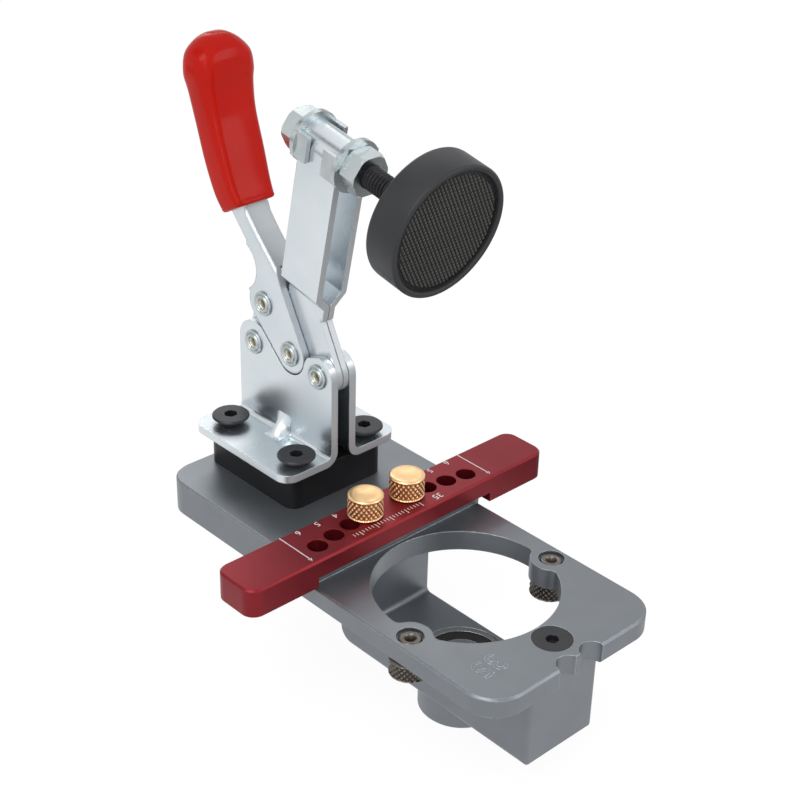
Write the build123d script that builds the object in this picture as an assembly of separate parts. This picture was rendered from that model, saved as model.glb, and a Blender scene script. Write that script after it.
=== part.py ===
from build123d import *
import math
import os

# Millimetres. The origin is on the drill axis, on the seat for the door panel.
# X runs along the fence, Y to the clamp, Z up.

# Clamp pivots in the side view (Y, Z): D front on the stand, A rear on the stand,
# C between handle and arm, B between handle and link
PIVOT_D = (50.5, 37.6)
PIVOT_A = (PIVOT_D[0] + 25.2, PIVOT_D[1] + 0.05)
PIVOT_C = (PIVOT_D[0] + 10.8, PIVOT_D[1] + 2.15)
PIVOT_B = (PIVOT_A[0] - 4.05, PIVOT_A[1] + 12.35)
LOBE_A = 5.9
LOBE_B = 5.6
LOBE_C = 5.25
LOBE_D = 5.4
VALLEY_GAP = 0.35
ARM_SWING = 78.5
HANDLE_SWING = -141.6

# Clamp stand
STEEL = 2.1
STAND_IN = 1.9
STAND_FRONT = PIVOT_D[0] - LOBE_D
FLANGE_L = PIVOT_A[0] + LOBE_A + 2.1 - STAND_FRONT
FLANGE_OUT = 18.9
BEND_R = 1.6
FOOT_CORNER_R = 4.0
CLAMP_SCREW_X = 11.4
CLAMP_SCREW_Y1 = STAND_FRONT + 4.9
CLAMP_SCREW_Y2 = STAND_FRONT + FLANGE_L - 6.9
CLAMP_HEAD_R = 4.9
CLAMP_HEAD_RIM = 0.6
CLAMP_HEAD_CONE = 2.2
CLAMP_HEAD_TOP = 2.5
SCREW_DEPTH = 7.5

# Base plate
PLATE_HALF = 28.5
PLATE_FRONT = -37.5
PLATE_REAR = STAND_FRONT + FLANGE_L - 0.6
PLATE_T = 5.5
FRONT_CORNER_R = 9.0
REAR_CORNER_R = 7.0
REAR_RISE = 4.4
STEP_Y = 24.0
EDGE = 0.5
CUTTER_R = 23.05
EAR_X = 24.0
EAR_Y = -6.0
EAR_R = 5.4
EAR_FILLET = 2.0
NOTCH_R = 3.4
NOTCH_X = 3.9
POINTER_TIP = 1.1

# Guide bushes
BUSH_BORE_R = 1.25
BUSH_NECK_R = 2.75
BUSH_COLLAR_R = 4.95
BUSH_COLLAR_H = 4.8
BUSH_SINK = 0.4
BUSH_RIM_R = 3.3
RUN_GAP = 0.05

# Fence
FENCE_HALF = 49.5
FENCE_FRONT = 20.5
FENCE_DEPTH = 14.0
FENCE_T = 4.8
FENCE_CORNER_R = 3.5
LOBE_GAP = 0.5
LOBE_DROP = 2.7
HOLE_R = 2.6
HOLE_X = 7.0
HOLE_PITCH = 6.0
HOLE_Y = 28.75
HOLE_STEP = 1.0

# Thumb screws
THUMB_R = 4.55
THUMB_H = 6.0
THUMB_SHANK_R = 2.5
THUMB_DEPTH = 8.0

# Guide bracket and bearing
BRACKET_HALF = 12.0
BRACKET_FRONT = -33.0
POST_DEPTH = 9.6
WALL_REAR = 32.7
WALL_DEPTH = 7.5
THROAT = 15.5
ARM_T = 7.6
BEARING_R = 11.0
BEARING_BORE_R = 4.0
BEARING_W = 7.0
BEARING_SINK = 0.1
RACE_R = 7.5
BALL_R = 1.95
BALL_GAP = 0.05
BALLS = 7
CAGE_WALL = 0.55
SEAL_T = 0.5
HUB_R = 10.7
HUB_DROP = 7.5
HUB_BORE_R = 4.5

# Bracket screws
SCREW_Y = -28.3
SCREW_HEAD_R = 4.95
SCREW_R = 2.5
SCREW_L = 14.0
REAR_SCREW_Y = 29.0
REAR_HEAD_R = 3.9
REAR_SCREW_R = 2.0

# Spacer block
SPACER_HALF = 15.5
SPACER_FRONT = STAND_FRONT + 1.7
SPACER_L = FLANGE_L - 3.8
SPACER_T = 9.6

# Rivets
RIVET_R = 2.4
RIVET_BORE_R = 1.5
RIVET_HEAD_R = 3.25
RIVET_HEAD_T = 0.9

# Clamp arm, drawn in its own frame at pivot D
ARM_TILT = 11.5
STRIP = 1.8
PINCH_GAP = 0.1
LEG_OUT = 4.85
LEG_FRONT = 3.6
LEG_DEPTH = 13.6
JOGGLE_Z = 17.1
JOGGLE_RUN = 3.4
ARM_L = 57.9
ARM_EYE_D = 5.2
ARM_EYE_C = 5.0

# Spindle set
SPINDLE_R = 3.0
WASHER_R = 6.8
WASHER_T = 1.3
TAB_L = 4.0
TAB_H = 6.8
NUT_AF = 10.0
NUT_T = 5.0
PAD_R = 16.65
PAD_T = 9.3
PAD_FACE = 29.3
PAD_RING = 1.5
ROD_TAIL = 3.0

# Handle
HANDLE_T = 2.0
WEB_T = 2.0
GRIP_WALL = 1.3

# Front line of the handle's web, from pivot B
WEB_LINE = [(-4.45, 11.25), (2.35, 18.25), (7.55, 24.25), (12.9, 35.5), (16.9, 49.6)]

# Rear line of the handle plates from the top down, and the bite that clears the stand
REAR_LINE = [(21.8, 48.2), (17.8, 33.4), (12.85, 22.25), (6.5, 15.4)]
BITE = (9.55, 8.05)
BITE_R = 6.8

# Toggle link
LINK_HALF = 1.7
LINK_EYE_A = 4.9
LINK_EYE_B = 4.6


def span(x0, x1, y0, y1, z0, z1):
    """A block between three pairs of coordinates."""
    block = Box(x1 - x0, y1 - y0, z1 - z0)
    return Pos((x0 + x1) / 2, (y0 + y1) / 2, (z0 + z1) / 2) * block


def rod(x, y, z0, z1, r):
    """An upright cylinder."""
    return Pos(x, y, (z0 + z1) / 2) * Cylinder(r, z1 - z0)


def cone(x, y, z0, z1, r0, r1):
    """An upright cone from radius r0 at z0 to r1 at z1."""
    return Pos(x, y, (z0 + z1) / 2) * Cone(r0, r1, z1 - z0)


def cross(pivot, x0, x1, r):
    """A cylinder along X through a pivot (Y, Z)."""
    bar = Rot(0, 90, 0) * Cylinder(r, x1 - x0)
    return Pos((x0 + x1) / 2, pivot[0], pivot[1]) * bar


def side(sketch, x0, x1):
    """A side view sketch, drawn as (Y, Z), made into a plate between x0 and x1."""
    plane = Plane(origin=(x0, 0, 0), x_dir=(0, 1, 0), z_dir=(1, 0, 0))
    return extrude(plane * sketch, amount=x1 - x0)


def disc(point, r):
    """A round sketch at a point."""
    return Pos(point[0], point[1]) * Circle(r)


def shape(points):
    """A sketch with straight sides."""
    return make_face(Polyline(*points, close=True).edges())


def swung(point, centre, turn):
    """A side view point turned about a pivot, in degrees."""
    y, z = point[0] - centre[0], point[1] - centre[1]
    c, s = math.cos(math.radians(turn)), math.sin(math.radians(turn))
    return (centre[0] + y * c - z * s, centre[1] + y * s + z * c)


def hull(*discs):
    """The taut outline around some discs, each (point, radius)."""
    edges = []
    for point, r in discs:
        edges += disc(point, r).edges()
    return make_hull(edges)


def solid(name, thing):
    """The one solid of a part, with its name."""
    found = thing.solids()
    if len(found) != 1:
        raise ValueError(name + ": " + str(len(found)) + " solids")
    part = found[0]
    part.label = name
    return part


def near(edges, test):
    """Edges whose middle passes a test."""
    return [e for e in edges if test(e.center())]


def upright(part, test):
    """Upright straight edges whose middle passes a test."""
    return near(part.edges().filter_by(Axis.Z), test)


ARM_PLANE = Plane(
    origin=(0, PIVOT_D[0], PIVOT_D[1]),
    x_dir=(1, 0, 0),
    z_dir=(0, -math.sin(math.radians(ARM_TILT)), math.cos(math.radians(ARM_TILT))),
)

POST_REAR = BRACKET_FRONT + POST_DEPTH
WALL_FRONT = WALL_REAR - WALL_DEPTH
ARM_TOP = -PLATE_T - THROAT
ARM_BOTTOM = ARM_TOP - ARM_T
BEARING_TOP = ARM_TOP - BEARING_SINK
BEARING_LOW = BEARING_TOP - BEARING_W
FENCE_REAR = FENCE_FRONT + FENCE_DEPTH
FENCE_TOP = REAR_RISE + FENCE_T
STAND_OUT = STAND_IN + STEEL
STAND_Z = REAR_RISE + SPACER_T
FLANGE_TOP = STAND_Z + STEEL
STAND_REAR = STAND_FRONT + FLANGE_L
HANDLE_OUT = STAND_IN + HANDLE_T
LEG_IN = LEG_OUT - STRIP
LEG_REAR = LEG_FRONT + LEG_DEPTH
PINCH_OUT = PINCH_GAP + STRIP - 0.1


def base_plate():
    """The one-piece plate: thin front with the cutter hole, thick rear for the clamp."""
    low = Pos(0, (PLATE_FRONT + PLATE_REAR) / 2) * Rectangle(2 * PLATE_HALF, PLATE_REAR - PLATE_FRONT)
    mid = (PLATE_FRONT + PLATE_REAR) / 2
    low = fillet([v for v in low.vertices() if v.Y < mid], FRONT_CORNER_R)
    low = fillet([v for v in low.vertices() if v.Y > PLATE_REAR - REAR_CORNER_R], REAR_CORNER_R)
    # The ears for the bushes stand into the cutter hole.
    hole = Circle(CUTTER_R) - disc((EAR_X, EAR_Y), EAR_R) - disc((-EAR_X, EAR_Y), EAR_R)
    corners = [v for v in hole.vertices() if abs(math.hypot(v.X, v.Y) - CUTTER_R) < 0.1 and v.Y < EAR_Y + EAR_R]
    hole = fillet([v for v in corners if abs(v.X) > CUTTER_R / 2], EAR_FILLET)
    # Two round bites at the front leave the centre pointer.
    bites = disc((-NOTCH_X, PLATE_FRONT), NOTCH_R) + disc((NOTCH_X, PLATE_FRONT), NOTCH_R)
    tip = Pos(0, PLATE_FRONT) * Rectangle(2 * NOTCH_X, 2 * POINTER_TIP)
    low = low - hole - bites - tip
    plate = extrude(Pos(0, 0, -PLATE_T) * low, amount=PLATE_T + REAR_RISE)
    plate -= span(-PLATE_HALF - 1, PLATE_HALF + 1, PLATE_FRONT - 1, STEP_Y, 0, REAR_RISE + 1)
    rim = plate.edges().filter_by(lambda e: e.bounding_box().size.Z < 0.01)
    outer = [e for e in rim if on_rim(e)]
    plate = chamfer(outer, EDGE)
    for s in (-1, 1):
        plate -= rod(s * EAR_X, EAR_Y, -PLATE_T - 1, 1, BUSH_NECK_R + RUN_GAP)
        plate -= rod(s * EAR_X, EAR_Y, -BUSH_SINK - 0.8, 1, BUSH_RIM_R)
        plate -= rod(s * HOLE_X, HOLE_Y, REAR_RISE - THUMB_DEPTH - 0.5, REAR_RISE + 1, THUMB_SHANK_R + RUN_GAP)
        for y in (CLAMP_SCREW_Y1, CLAMP_SCREW_Y2):
            plate -= rod(s * CLAMP_SCREW_X, y, REAR_RISE - SCREW_DEPTH - 0.5, REAR_RISE + 1, SCREW_R)
    plate -= screw_shape(SCREW_Y, 0, SCREW_HEAD_R, SCREW_R, SCREW_L)
    plate -= screw_shape(REAR_SCREW_Y, REAR_RISE, REAR_HEAD_R, REAR_SCREW_R, SCREW_L + REAR_RISE)
    return solid("base_plate", plate)


def on_rim(e):
    """True for a level edge of the plate's outside outline or of the cutter hole."""
    c = e.center()
    if abs(c.Y - STEP_Y) < 0.01:
        return False
    level = min(abs(c.Z + PLATE_T), abs(c.Z), abs(c.Z - REAR_RISE)) < 0.01
    inside = math.hypot(e.position_at(0.5).X, e.position_at(0.5).Y) < CUTTER_R + 0.5
    notch = abs(c.X) < NOTCH_X + NOTCH_R + 0.5 and c.Y < PLATE_FRONT + NOTCH_R + 0.5
    return level and not inside and not notch


def screw_shape(y, top, head_r, r, length):
    """Countersunk screw outline with its head flush at the given height."""
    drop = head_r - r
    head = rod(0, y, top - 0.4, top, head_r)
    head += cone(0, y, top - 0.4 - drop, top - 0.4, r, head_r)
    return head + rod(0, y, top - length, top - 0.4 - drop, r)


def hex_hole(x, y, top, flats, depth):
    """A hexagon socket from a head's top face."""
    six = Pos(x, y, top - depth) * RegularPolygon(flats / math.sqrt(3), 6)
    return extrude(six, amount=depth + 1)


def bracket_screw(name, y, top, head_r, r, length, flats):
    """A countersunk screw with a hexagon socket."""
    screw = screw_shape(y, top, head_r, r, length)
    screw -= rod(0, y, top - 0.1, top + 1, head_r + 1)
    return solid(name, screw - hex_hole(0, y, top, flats, 1.8))


def guide_bush(name, s):
    """A turned bush: rim in the ear, neck, and the knurled collar below the plate."""
    x = s * EAR_X
    top = -BUSH_SINK
    low = -PLATE_T - BUSH_COLLAR_H
    bush = rod(x, EAR_Y, -PLATE_T, top, BUSH_NECK_R)
    bush += rod(x, EAR_Y, low, -PLATE_T, BUSH_COLLAR_R)
    ends = bush.edges().filter_by(GeomType.CIRCLE)
    bush = chamfer([e for e in ends if abs(e.center().Z - low) < 0.01], 0.5)
    bush = chamfer([e for e in bush.edges().filter_by(GeomType.CIRCLE) if abs(e.center().Z - top) < 0.01], 0.3)
    return solid(name, bush - rod(x, EAR_Y, low - 1, 1, BUSH_BORE_R))


def guide_bracket():
    """The U bracket below the plate: front post, arm with the bearing seat, rear wall."""
    h = BRACKET_HALF
    frame = span(-h, h, BRACKET_FRONT, WALL_REAR, ARM_BOTTOM, -PLATE_T)
    frame -= span(-h - 1, h + 1, POST_REAR, WALL_FRONT, ARM_TOP, 0)
    low_rear = near(frame.edges().filter_by(Axis.X), lambda c: c.Y > WALL_REAR - 0.1 and c.Z < ARM_BOTTOM + 0.1)
    frame = fillet(low_rear, 4.5)
    inner = near(frame.edges().filter_by(Axis.X), lambda c: POST_REAR - 0.1 < c.Y < WALL_FRONT + 0.1 and c.Z < ARM_TOP + 0.1 and c.Z > ARM_TOP - 0.1)
    frame = fillet(inner, 1.5)
    ends = upright(frame, lambda c: c.Y < BRACKET_FRONT + 0.1 or c.Y > WALL_REAR - 0.1)
    frame = fillet(ends, 1.5)
    hub = rod(0, 0, ARM_BOTTOM - HUB_DROP, ARM_BOTTOM, HUB_R)
    low = ARM_BOTTOM - HUB_DROP
    hub = chamfer([e for e in hub.edges() if abs(e.center().Z - low) < 0.01], 0.6)
    frame += hub
    frame -= rod(0, 0, BEARING_LOW, ARM_TOP + 1, BEARING_R)
    frame -= rod(0, 0, BEARING_LOW - 0.4, BEARING_LOW, BEARING_R - 1.8)
    frame -= rod(0, 0, low - 1, BEARING_LOW, HUB_BORE_R)
    frame -= screw_shape(SCREW_Y, 0, SCREW_HEAD_R, SCREW_R, SCREW_L)
    frame -= screw_shape(REAR_SCREW_Y, REAR_RISE, REAR_HEAD_R, REAR_SCREW_R, SCREW_L + REAR_RISE)
    return solid("guide_bracket", frame)


def race_ring(name, r_in, r_out, lip):
    """A bearing ring with its ball groove and the step for the seals."""
    ring = rod(0, 0, BEARING_LOW, BEARING_TOP, r_out) - rod(0, 0, BEARING_LOW - 1, BEARING_TOP + 1, r_in)
    mid = (BEARING_LOW + BEARING_TOP) / 2
    octagon = Pos(RACE_R, mid) * RegularPolygon(BALL_R + BALL_GAP, 8, major_radius=False)
    ring -= revolve(Plane.XZ * octagon, Axis.Z)
    outside = r_out > RACE_R
    for z0, z1 in ((BEARING_TOP - SEAL_T - 0.15, BEARING_TOP + 1), (BEARING_LOW - 1, BEARING_LOW + SEAL_T + 0.15)):
        if outside:
            ring -= rod(0, 0, z0, z1, lip)
    rims = [e for e in ring.edges().filter_by(GeomType.CIRCLE)
            if abs(e.radius - (r_out if outside else r_in)) < 0.01]
    return solid(name, chamfer(rims, 0.3))


def bearing():
    """A small deep-groove bearing: rings, balls, cage and two seals."""
    mid = (BEARING_LOW + BEARING_TOP) / 2
    outer_in = RACE_R + BALL_R * 0.7
    inner_out = RACE_R - BALL_R * 0.7
    lip = outer_in + 0.6
    outer = race_ring("bearing_outer_ring", outer_in, BEARING_R, lip)
    inner = race_ring("bearing_inner_ring", BEARING_BORE_R, inner_out, lip)
    # A ball is turned from a twelve-sided outline, to keep its faces few.
    half = make_face(Polyline((0, -BALL_R), *[
        (BALL_R * math.cos(math.radians(t)), BALL_R * math.sin(math.radians(t))) for t in (-60, -30, 0, 30, 60)
    ], (0, BALL_R), close=True).edges())
    ball = revolve(Plane.XZ * half, Axis.Z)
    balls = []
    # Crown cage: a ring under the balls with fingers between them.
    floor = mid - BALL_R - CAGE_WALL
    wide = CAGE_WALL * 1.6
    cage = rod(0, 0, floor, mid + BALL_R * 0.4, RACE_R + wide) - rod(0, 0, floor - 1, mid + 3, RACE_R - wide)
    for i in range(BALLS):
        a = 2 * math.pi * i / BALLS
        x, y = RACE_R * math.cos(a), RACE_R * math.sin(a)
        balls.append(Pos(x, y, mid) * ball)
        cage -= rod(x, y, mid - BALL_R - 0.05, mid + 3, BALL_R + 0.08)
    seals = []
    for name, z in (("bearing_seal_upper", BEARING_TOP - 0.15 - SEAL_T), ("bearing_seal_lower", BEARING_LOW + 0.15)):
        seal = rod(0, 0, z, z + SEAL_T, lip) - rod(0, 0, z - 1, z + 2, inner_out + 0.08)
        seals.append(solid(name, seal))
    return outer, inner, balls, solid("bearing_cage", cage), seals


def spacer_block():
    """The black block under the clamp feet."""
    y1 = SPACER_FRONT + SPACER_L
    block = span(-SPACER_HALF, SPACER_HALF, SPACER_FRONT, y1, REAR_RISE, STAND_Z)
    block = fillet(block.edges().filter_by(Axis.Z), 3.5)
    for s in (-1, 1):
        for y in (CLAMP_SCREW_Y1, CLAMP_SCREW_Y2):
            block -= rod(s * CLAMP_SCREW_X, y, 0, STAND_Z + 1, SCREW_R + 0.25)
    return solid("spacer_block", block)


def clamp_hole_r():
    """The foot hole that the screw's cone rests on."""
    up = FLANGE_TOP - (FLANGE_TOP + CLAMP_HEAD_TOP - CLAMP_HEAD_RIM - CLAMP_HEAD_CONE)
    return SCREW_R + up * (CLAMP_HEAD_R - SCREW_R) / CLAMP_HEAD_CONE


def clamp_base(name, s):
    """One folded half of the clamp stand: upright plate, bend and foot."""
    up = shape([(STAND_FRONT, STAND_Z), (PIVOT_A[0] + LOBE_A, STAND_Z),
                (PIVOT_A[0] + LOBE_A, PIVOT_A[1]), (PIVOT_A[0], PIVOT_A[1] + LOBE_A * 0.6),
                (PIVOT_D[0], PIVOT_D[1] + LOBE_D * 0.6), (STAND_FRONT, PIVOT_D[1])])
    up += disc(PIVOT_A, LOBE_A) + disc(PIVOT_D, LOBE_D)
    valley = hull((PIVOT_C, LOBE_C + VALLEY_GAP), (PIVOT_B, LOBE_B + VALLEY_GAP))
    ramp = shape([(PIVOT_D[0] + 1.0, PIVOT_D[1] + 30), (PIVOT_D[0] + 1.0, PIVOT_D[1] + 9),
                  (PIVOT_C[0] - LOBE_C, PIVOT_C[1] - 1.2), (PIVOT_C[0], PIVOT_C[1]),
                  (PIVOT_A[0] - LOBE_A + 0.2, PIVOT_A[1] + 4), (PIVOT_A[0] - 3, PIVOT_A[1] + 30)])
    ramp = ramp - disc(PIVOT_D, LOBE_D) - disc(PIVOT_A, LOBE_A)
    # The handle's lobes where they lie when the clamp is shut.
    shut_c = swung(PIVOT_C, PIVOT_D, ARM_SWING)
    shut_b = swung(swung(PIVOT_B, PIVOT_C, HANDLE_SWING), PIVOT_D, ARM_SWING)
    shut = hull((shut_c, LOBE_C + 0.2), (shut_b, LOBE_B + 0.2))
    up = up - valley - ramp - shut
    foot_zone = FLANGE_TOP + BEND_R
    up += shape([(STAND_FRONT, STAND_Z - 1), (STAND_REAR, STAND_Z - 1), (STAND_REAR, FLANGE_TOP + 0.01),
                 (PIVOT_A[0] + LOBE_A, FLANGE_TOP + 0.01), (PIVOT_A[0] + LOBE_A, foot_zone),
                 (STAND_FRONT, foot_zone)])
    # The strip seen along Y: upright leg, round bend, foot.
    high = PIVOT_D[1] + 2 * LOBE_A
    fold = shape([(STAND_IN, high), (STAND_IN, STAND_Z), (FLANGE_OUT, STAND_Z),
                  (FLANGE_OUT, FLANGE_TOP), (STAND_OUT, FLANGE_TOP), (STAND_OUT, high)])
    fold = fillet([v for v in fold.vertices() if abs(v.X - STAND_IN) < 0.01 and abs(v.Y - STAND_Z) < 0.01],
                  BEND_R + STEEL)
    fold = fillet([v for v in fold.vertices() if abs(v.X - STAND_OUT) < 0.01 and abs(v.Y - FLANGE_TOP) < 0.01],
                  BEND_R)
    if s < 0:
        fold = mirror(fold, Plane.YZ)
    strip = extrude(Plane(origin=(0, STAND_FRONT, 0), x_dir=(1, 0, 0), z_dir=(0, -1, 0)) * fold, amount=-FLANGE_L)
    plate = strip & side(up, -FLANGE_OUT - 1, FLANGE_OUT + 1)
    plate = fillet(upright(plate, lambda c: abs(c.X) > FLANGE_OUT - 0.1), FOOT_CORNER_R)
    # A pressed gusset stiffens the bend.
    mid = STAND_FRONT + FLANGE_L / 2 - 0.5
    rib = shape([(STAND_OUT - 0.4, FLANGE_TOP - 0.4), (STAND_OUT + 4.2, FLANGE_TOP - 0.4),
                 (STAND_OUT - 0.4, FLANGE_TOP + 5.2)])
    if s < 0:
        rib = mirror(rib, Plane.YZ)
    gusset = extrude(Plane(origin=(0, mid - 1.1, 0), x_dir=(1, 0, 0), z_dir=(0, -1, 0)) * rib, amount=-2.2)
    plate += gusset
    x0, x1 = sorted((s * (STAND_IN - 1), s * (STAND_OUT + 1)))
    for pivot in (PIVOT_A, PIVOT_D):
        plate -= cross(pivot, x0, x1, RIVET_R)
    for y in (CLAMP_SCREW_Y1, CLAMP_SCREW_Y2):
        plate -= rod(s * CLAMP_SCREW_X, y, STAND_Z - 1, FLANGE_TOP + 1, clamp_hole_r())
    return solid(name, plate)


def clamp_screw(name, x, y):
    """A foot screw whose countersunk head stands proud of the foot."""
    top = FLANGE_TOP + CLAMP_HEAD_TOP
    rim = top - CLAMP_HEAD_RIM
    low = rim - CLAMP_HEAD_CONE
    screw = rod(x, y, rim, top, CLAMP_HEAD_R) + cone(x, y, low, rim, SCREW_R, CLAMP_HEAD_R)
    screw += rod(x, y, REAR_RISE - SCREW_DEPTH, low, SCREW_R)
    screw = chamfer([e for e in screw.edges().filter_by(GeomType.CIRCLE) if abs(e.center().Z - top) < 0.01], 0.3)
    return solid(name, screw - hex_hole(x, y, top, 3.2, 2.0))


def fence_block():
    """The red stop bar with its eight setting holes and drooping ends."""
    bar = span(-FENCE_HALF, FENCE_HALF, FENCE_FRONT, FENCE_REAR, REAR_RISE - LOBE_DROP, FENCE_TOP)
    bar = fillet(bar.edges().filter_by(Axis.Z), FENCE_CORNER_R)
    lobe = PLATE_HALF + LOBE_GAP
    bar -= span(-lobe, lobe, FENCE_FRONT - 1, FENCE_REAR + 1, 0, REAR_RISE)
    tops = [e for e in bar.edges() if abs(e.center().Z - FENCE_TOP) < 0.01]
    bar = chamfer(tops, EDGE)
    for s in (-1, 1):
        for i in range(4):
            x = s * (HOLE_X + i * HOLE_PITCH)
            y = HOLE_Y - i * HOLE_STEP
            bar -= rod(x, y, 0, FENCE_TOP + 1, HOLE_R)
    return solid("fence_block", bar)


def thumb_screw(name, s):
    """A brass thumb screw through the fence into the plate."""
    x = s * HOLE_X
    top = FENCE_TOP + THUMB_H
    head = rod(x, HOLE_Y, FENCE_TOP, top, THUMB_R)
    ends = head.edges().filter_by(GeomType.CIRCLE)
    head = chamfer([e for e in ends if e.center().Z > top - 0.01], 0.7)
    ends = head.edges().filter_by(GeomType.CIRCLE)
    head = chamfer([e for e in ends if e.center().Z < FENCE_TOP + 0.01], 0.4)
    return solid(name, head + rod(x, HOLE_Y, REAR_RISE - THUMB_DEPTH, FENCE_TOP, THUMB_SHANK_R))


def rivet(name, pivot, reach):
    """A hollow rivet across the clamp; reach is half the width under its heads."""
    pin = cross(pivot, -reach, reach, RIVET_R)
    for s in (-1, 1):
        x0, x1 = sorted((s * reach, s * (reach + RIVET_HEAD_T)))
        head = cross(pivot, x0, x1, RIVET_HEAD_R)
        rims = [e for e in head.edges().filter_by(GeomType.CIRCLE)
                if abs(abs(e.center().X) - reach - RIVET_HEAD_T) < 0.01]
        pin += chamfer(rims, 0.4)
    pin -= cross(pivot, -reach - 2, reach + 2, RIVET_BORE_R)
    return solid(name, pin)


def clamp_arm():
    """The folded strip arm: pinched plates at the pivots, wide legs, round U end."""
    out = shape([(-PINCH_OUT, -9), (-PINCH_OUT, JOGGLE_Z), (-LEG_OUT, JOGGLE_Z + JOGGLE_RUN), (-LEG_OUT, ARM_L),
                 (LEG_OUT, ARM_L), (LEG_OUT, JOGGLE_Z + JOGGLE_RUN), (PINCH_OUT, JOGGLE_Z), (PINCH_OUT, -9)])
    out += disc((0, ARM_L), LEG_OUT)
    lift = STRIP * math.tan(math.atan2(LEG_OUT - PINCH_OUT, JOGGLE_RUN) / 2)
    bent = JOGGLE_Z + lift
    inner = shape([(-PINCH_GAP, -10), (-PINCH_GAP, bent), (-LEG_IN, bent + JOGGLE_RUN), (-LEG_IN, ARM_L),
                   (LEG_IN, ARM_L), (LEG_IN, bent + JOGGLE_RUN), (PINCH_GAP, bent), (PINCH_GAP, -10)])
    inner += disc((0, ARM_L), LEG_IN)
    strip = out - inner
    strip = extrude(Plane(origin=(0, -30, 0), x_dir=(1, 0, 0), z_dir=(0, -1, 0)) * strip, amount=-70)
    c = arm_spot(PIVOT_C)
    low = hull(((0, 0), ARM_EYE_D), (c, ARM_EYE_C), ((LEG_FRONT + 1.6, JOGGLE_Z - 3.6), 0.8),
               ((LEG_REAR - 0.8, JOGGLE_Z + 2.0), 0.8))
    low += shape([(LEG_FRONT, JOGGLE_Z - 3.5), (LEG_REAR, JOGGLE_Z + 2.0), (LEG_REAR, ARM_L + 9),
                  (LEG_FRONT, ARM_L + 9)])
    arm = strip & side(low, -LEG_OUT - 1, LEG_OUT + 1)
    for spot in ((0, 0), c):
        arm -= cross(spot, -LEG_OUT - 2, LEG_OUT + 2, RIVET_R + RUN_GAP)
    return solid("clamp_arm", ARM_PLANE * arm)


def arm_spot(pivot):
    """A side view point in the arm's own frame, as (along Y, along Z)."""
    t = math.radians(ARM_TILT)
    dy = pivot[0] - PIVOT_D[0]
    dz = pivot[1] - PIVOT_D[1]
    return (dy * math.cos(t) + dz * math.sin(t), -dy * math.sin(t) + dz * math.cos(t))


def across(y0, y1, r, z=ARM_L):
    """A cylinder along the arm frame's Y axis, on the spindle line."""
    bar = Rot(90, 0, 0) * Cylinder(r, y1 - y0)
    return Pos(0, (y0 + y1) / 2, z) * bar


def flange_washer(name, s):
    """A washer with two tabs that lie along the arm's legs."""
    face = LEG_FRONT if s < 0 else LEG_REAR
    y0, y1 = sorted((face, face + s * WASHER_T))
    washer = across(y0, y1, WASHER_R)
    t0, t1 = sorted((face + s * WASHER_T, face - s * TAB_L))
    for side_x in (-1, 1):
        x0, x1 = sorted((side_x * (LEG_OUT + 0.1), side_x * (LEG_OUT + 0.1 + 1.25)))
        washer += span(x0, x1, t0, t1, ARM_L - TAB_H / 2, ARM_L + TAB_H / 2)
    washer -= across(y0 - 1, y1 + 1, SPINDLE_R + RUN_GAP)
    return solid(name, ARM_PLANE * washer)


def spindle_nut(name, s):
    """A plain hexagon nut with turned corners."""
    face = LEG_FRONT - WASHER_T if s < 0 else LEG_REAR + WASHER_T
    y0, y1 = sorted((face, face + s * NUT_T))
    six = Plane(origin=(0, y1, ARM_L), x_dir=(1, 0, 0), z_dir=(0, -1, 0)) * RegularPolygon(NUT_AF / math.sqrt(3), 6)
    nut = extrude(six, amount=y1 - y0)
    turned = Rot(90, 0, 0) * (Cylinder(NUT_AF / math.sqrt(3), NUT_T))
    turned = chamfer(turned.edges().filter_by(GeomType.CIRCLE), 0.55)
    nut = nut & (Pos(0, (y0 + y1) / 2, ARM_L) * turned)
    nut -= across(y0 - 1, y1 + 1, SPINDLE_R + RUN_GAP)
    return solid(name, ARM_PLANE * nut)


def spindle_rod():
    """The black threaded rod that carries the pad."""
    y0 = -PAD_FACE + 2.5
    y1 = LEG_REAR + WASHER_T + NUT_T + ROD_TAIL
    bar = across(y0, y1, SPINDLE_R)
    ends = bar.edges().filter_by(GeomType.CIRCLE)
    bar = chamfer([e for e in ends if e.center().Y > y1 - 0.01], 0.6)
    return solid("spindle_rod", ARM_PLANE * bar)


def pad_housing():
    """The round black pad holder."""
    back = -PAD_FACE + PAD_T
    cup = across(-PAD_FACE, back, PAD_R)
    ends = cup.edges().filter_by(GeomType.CIRCLE)
    cup = chamfer([e for e in ends if e.center().Y > back - 0.01], 1.0, 0.8)
    ends = cup.edges().filter_by(GeomType.CIRCLE)
    cup = chamfer([e for e in ends if e.center().Y < -PAD_FACE + 0.01], 0.4)
    cup -= across(-PAD_FACE - 1, -PAD_FACE + 2.5, PAD_R - PAD_RING)
    cup -= across(-PAD_FACE - 1, back + 1, SPINDLE_R)
    return solid("pad_housing", ARM_PLANE * cup)


def pad_face():
    """The rubber disc let into the pad holder."""
    disc_part = across(-PAD_FACE + 0.5, -PAD_FACE + 2.5, PAD_R - PAD_RING)
    return solid("pad_face", ARM_PLANE * disc_part)


def offset_pts(base, pts):
    """Points given from a base point."""
    return [(base[0] + y, base[1] + z) for y, z in pts]


def handle_sketch():
    """The side view of the handle plates."""
    low = hull((PIVOT_C, LOBE_C), (PIVOT_B, LOBE_B))
    body = shape([(PIVOT_C[0] - 4.9, PIVOT_C[1] + 1.9)] + offset_pts(PIVOT_B, [
        *WEB_LINE, *REAR_LINE, (LOBE_B + 0.2, 2.0), (1.0, -3.0)]))
    bite = disc((PIVOT_B[0] + BITE[0], PIVOT_B[1] + BITE[1]), BITE_R)
    return low + (body - bite)


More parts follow.
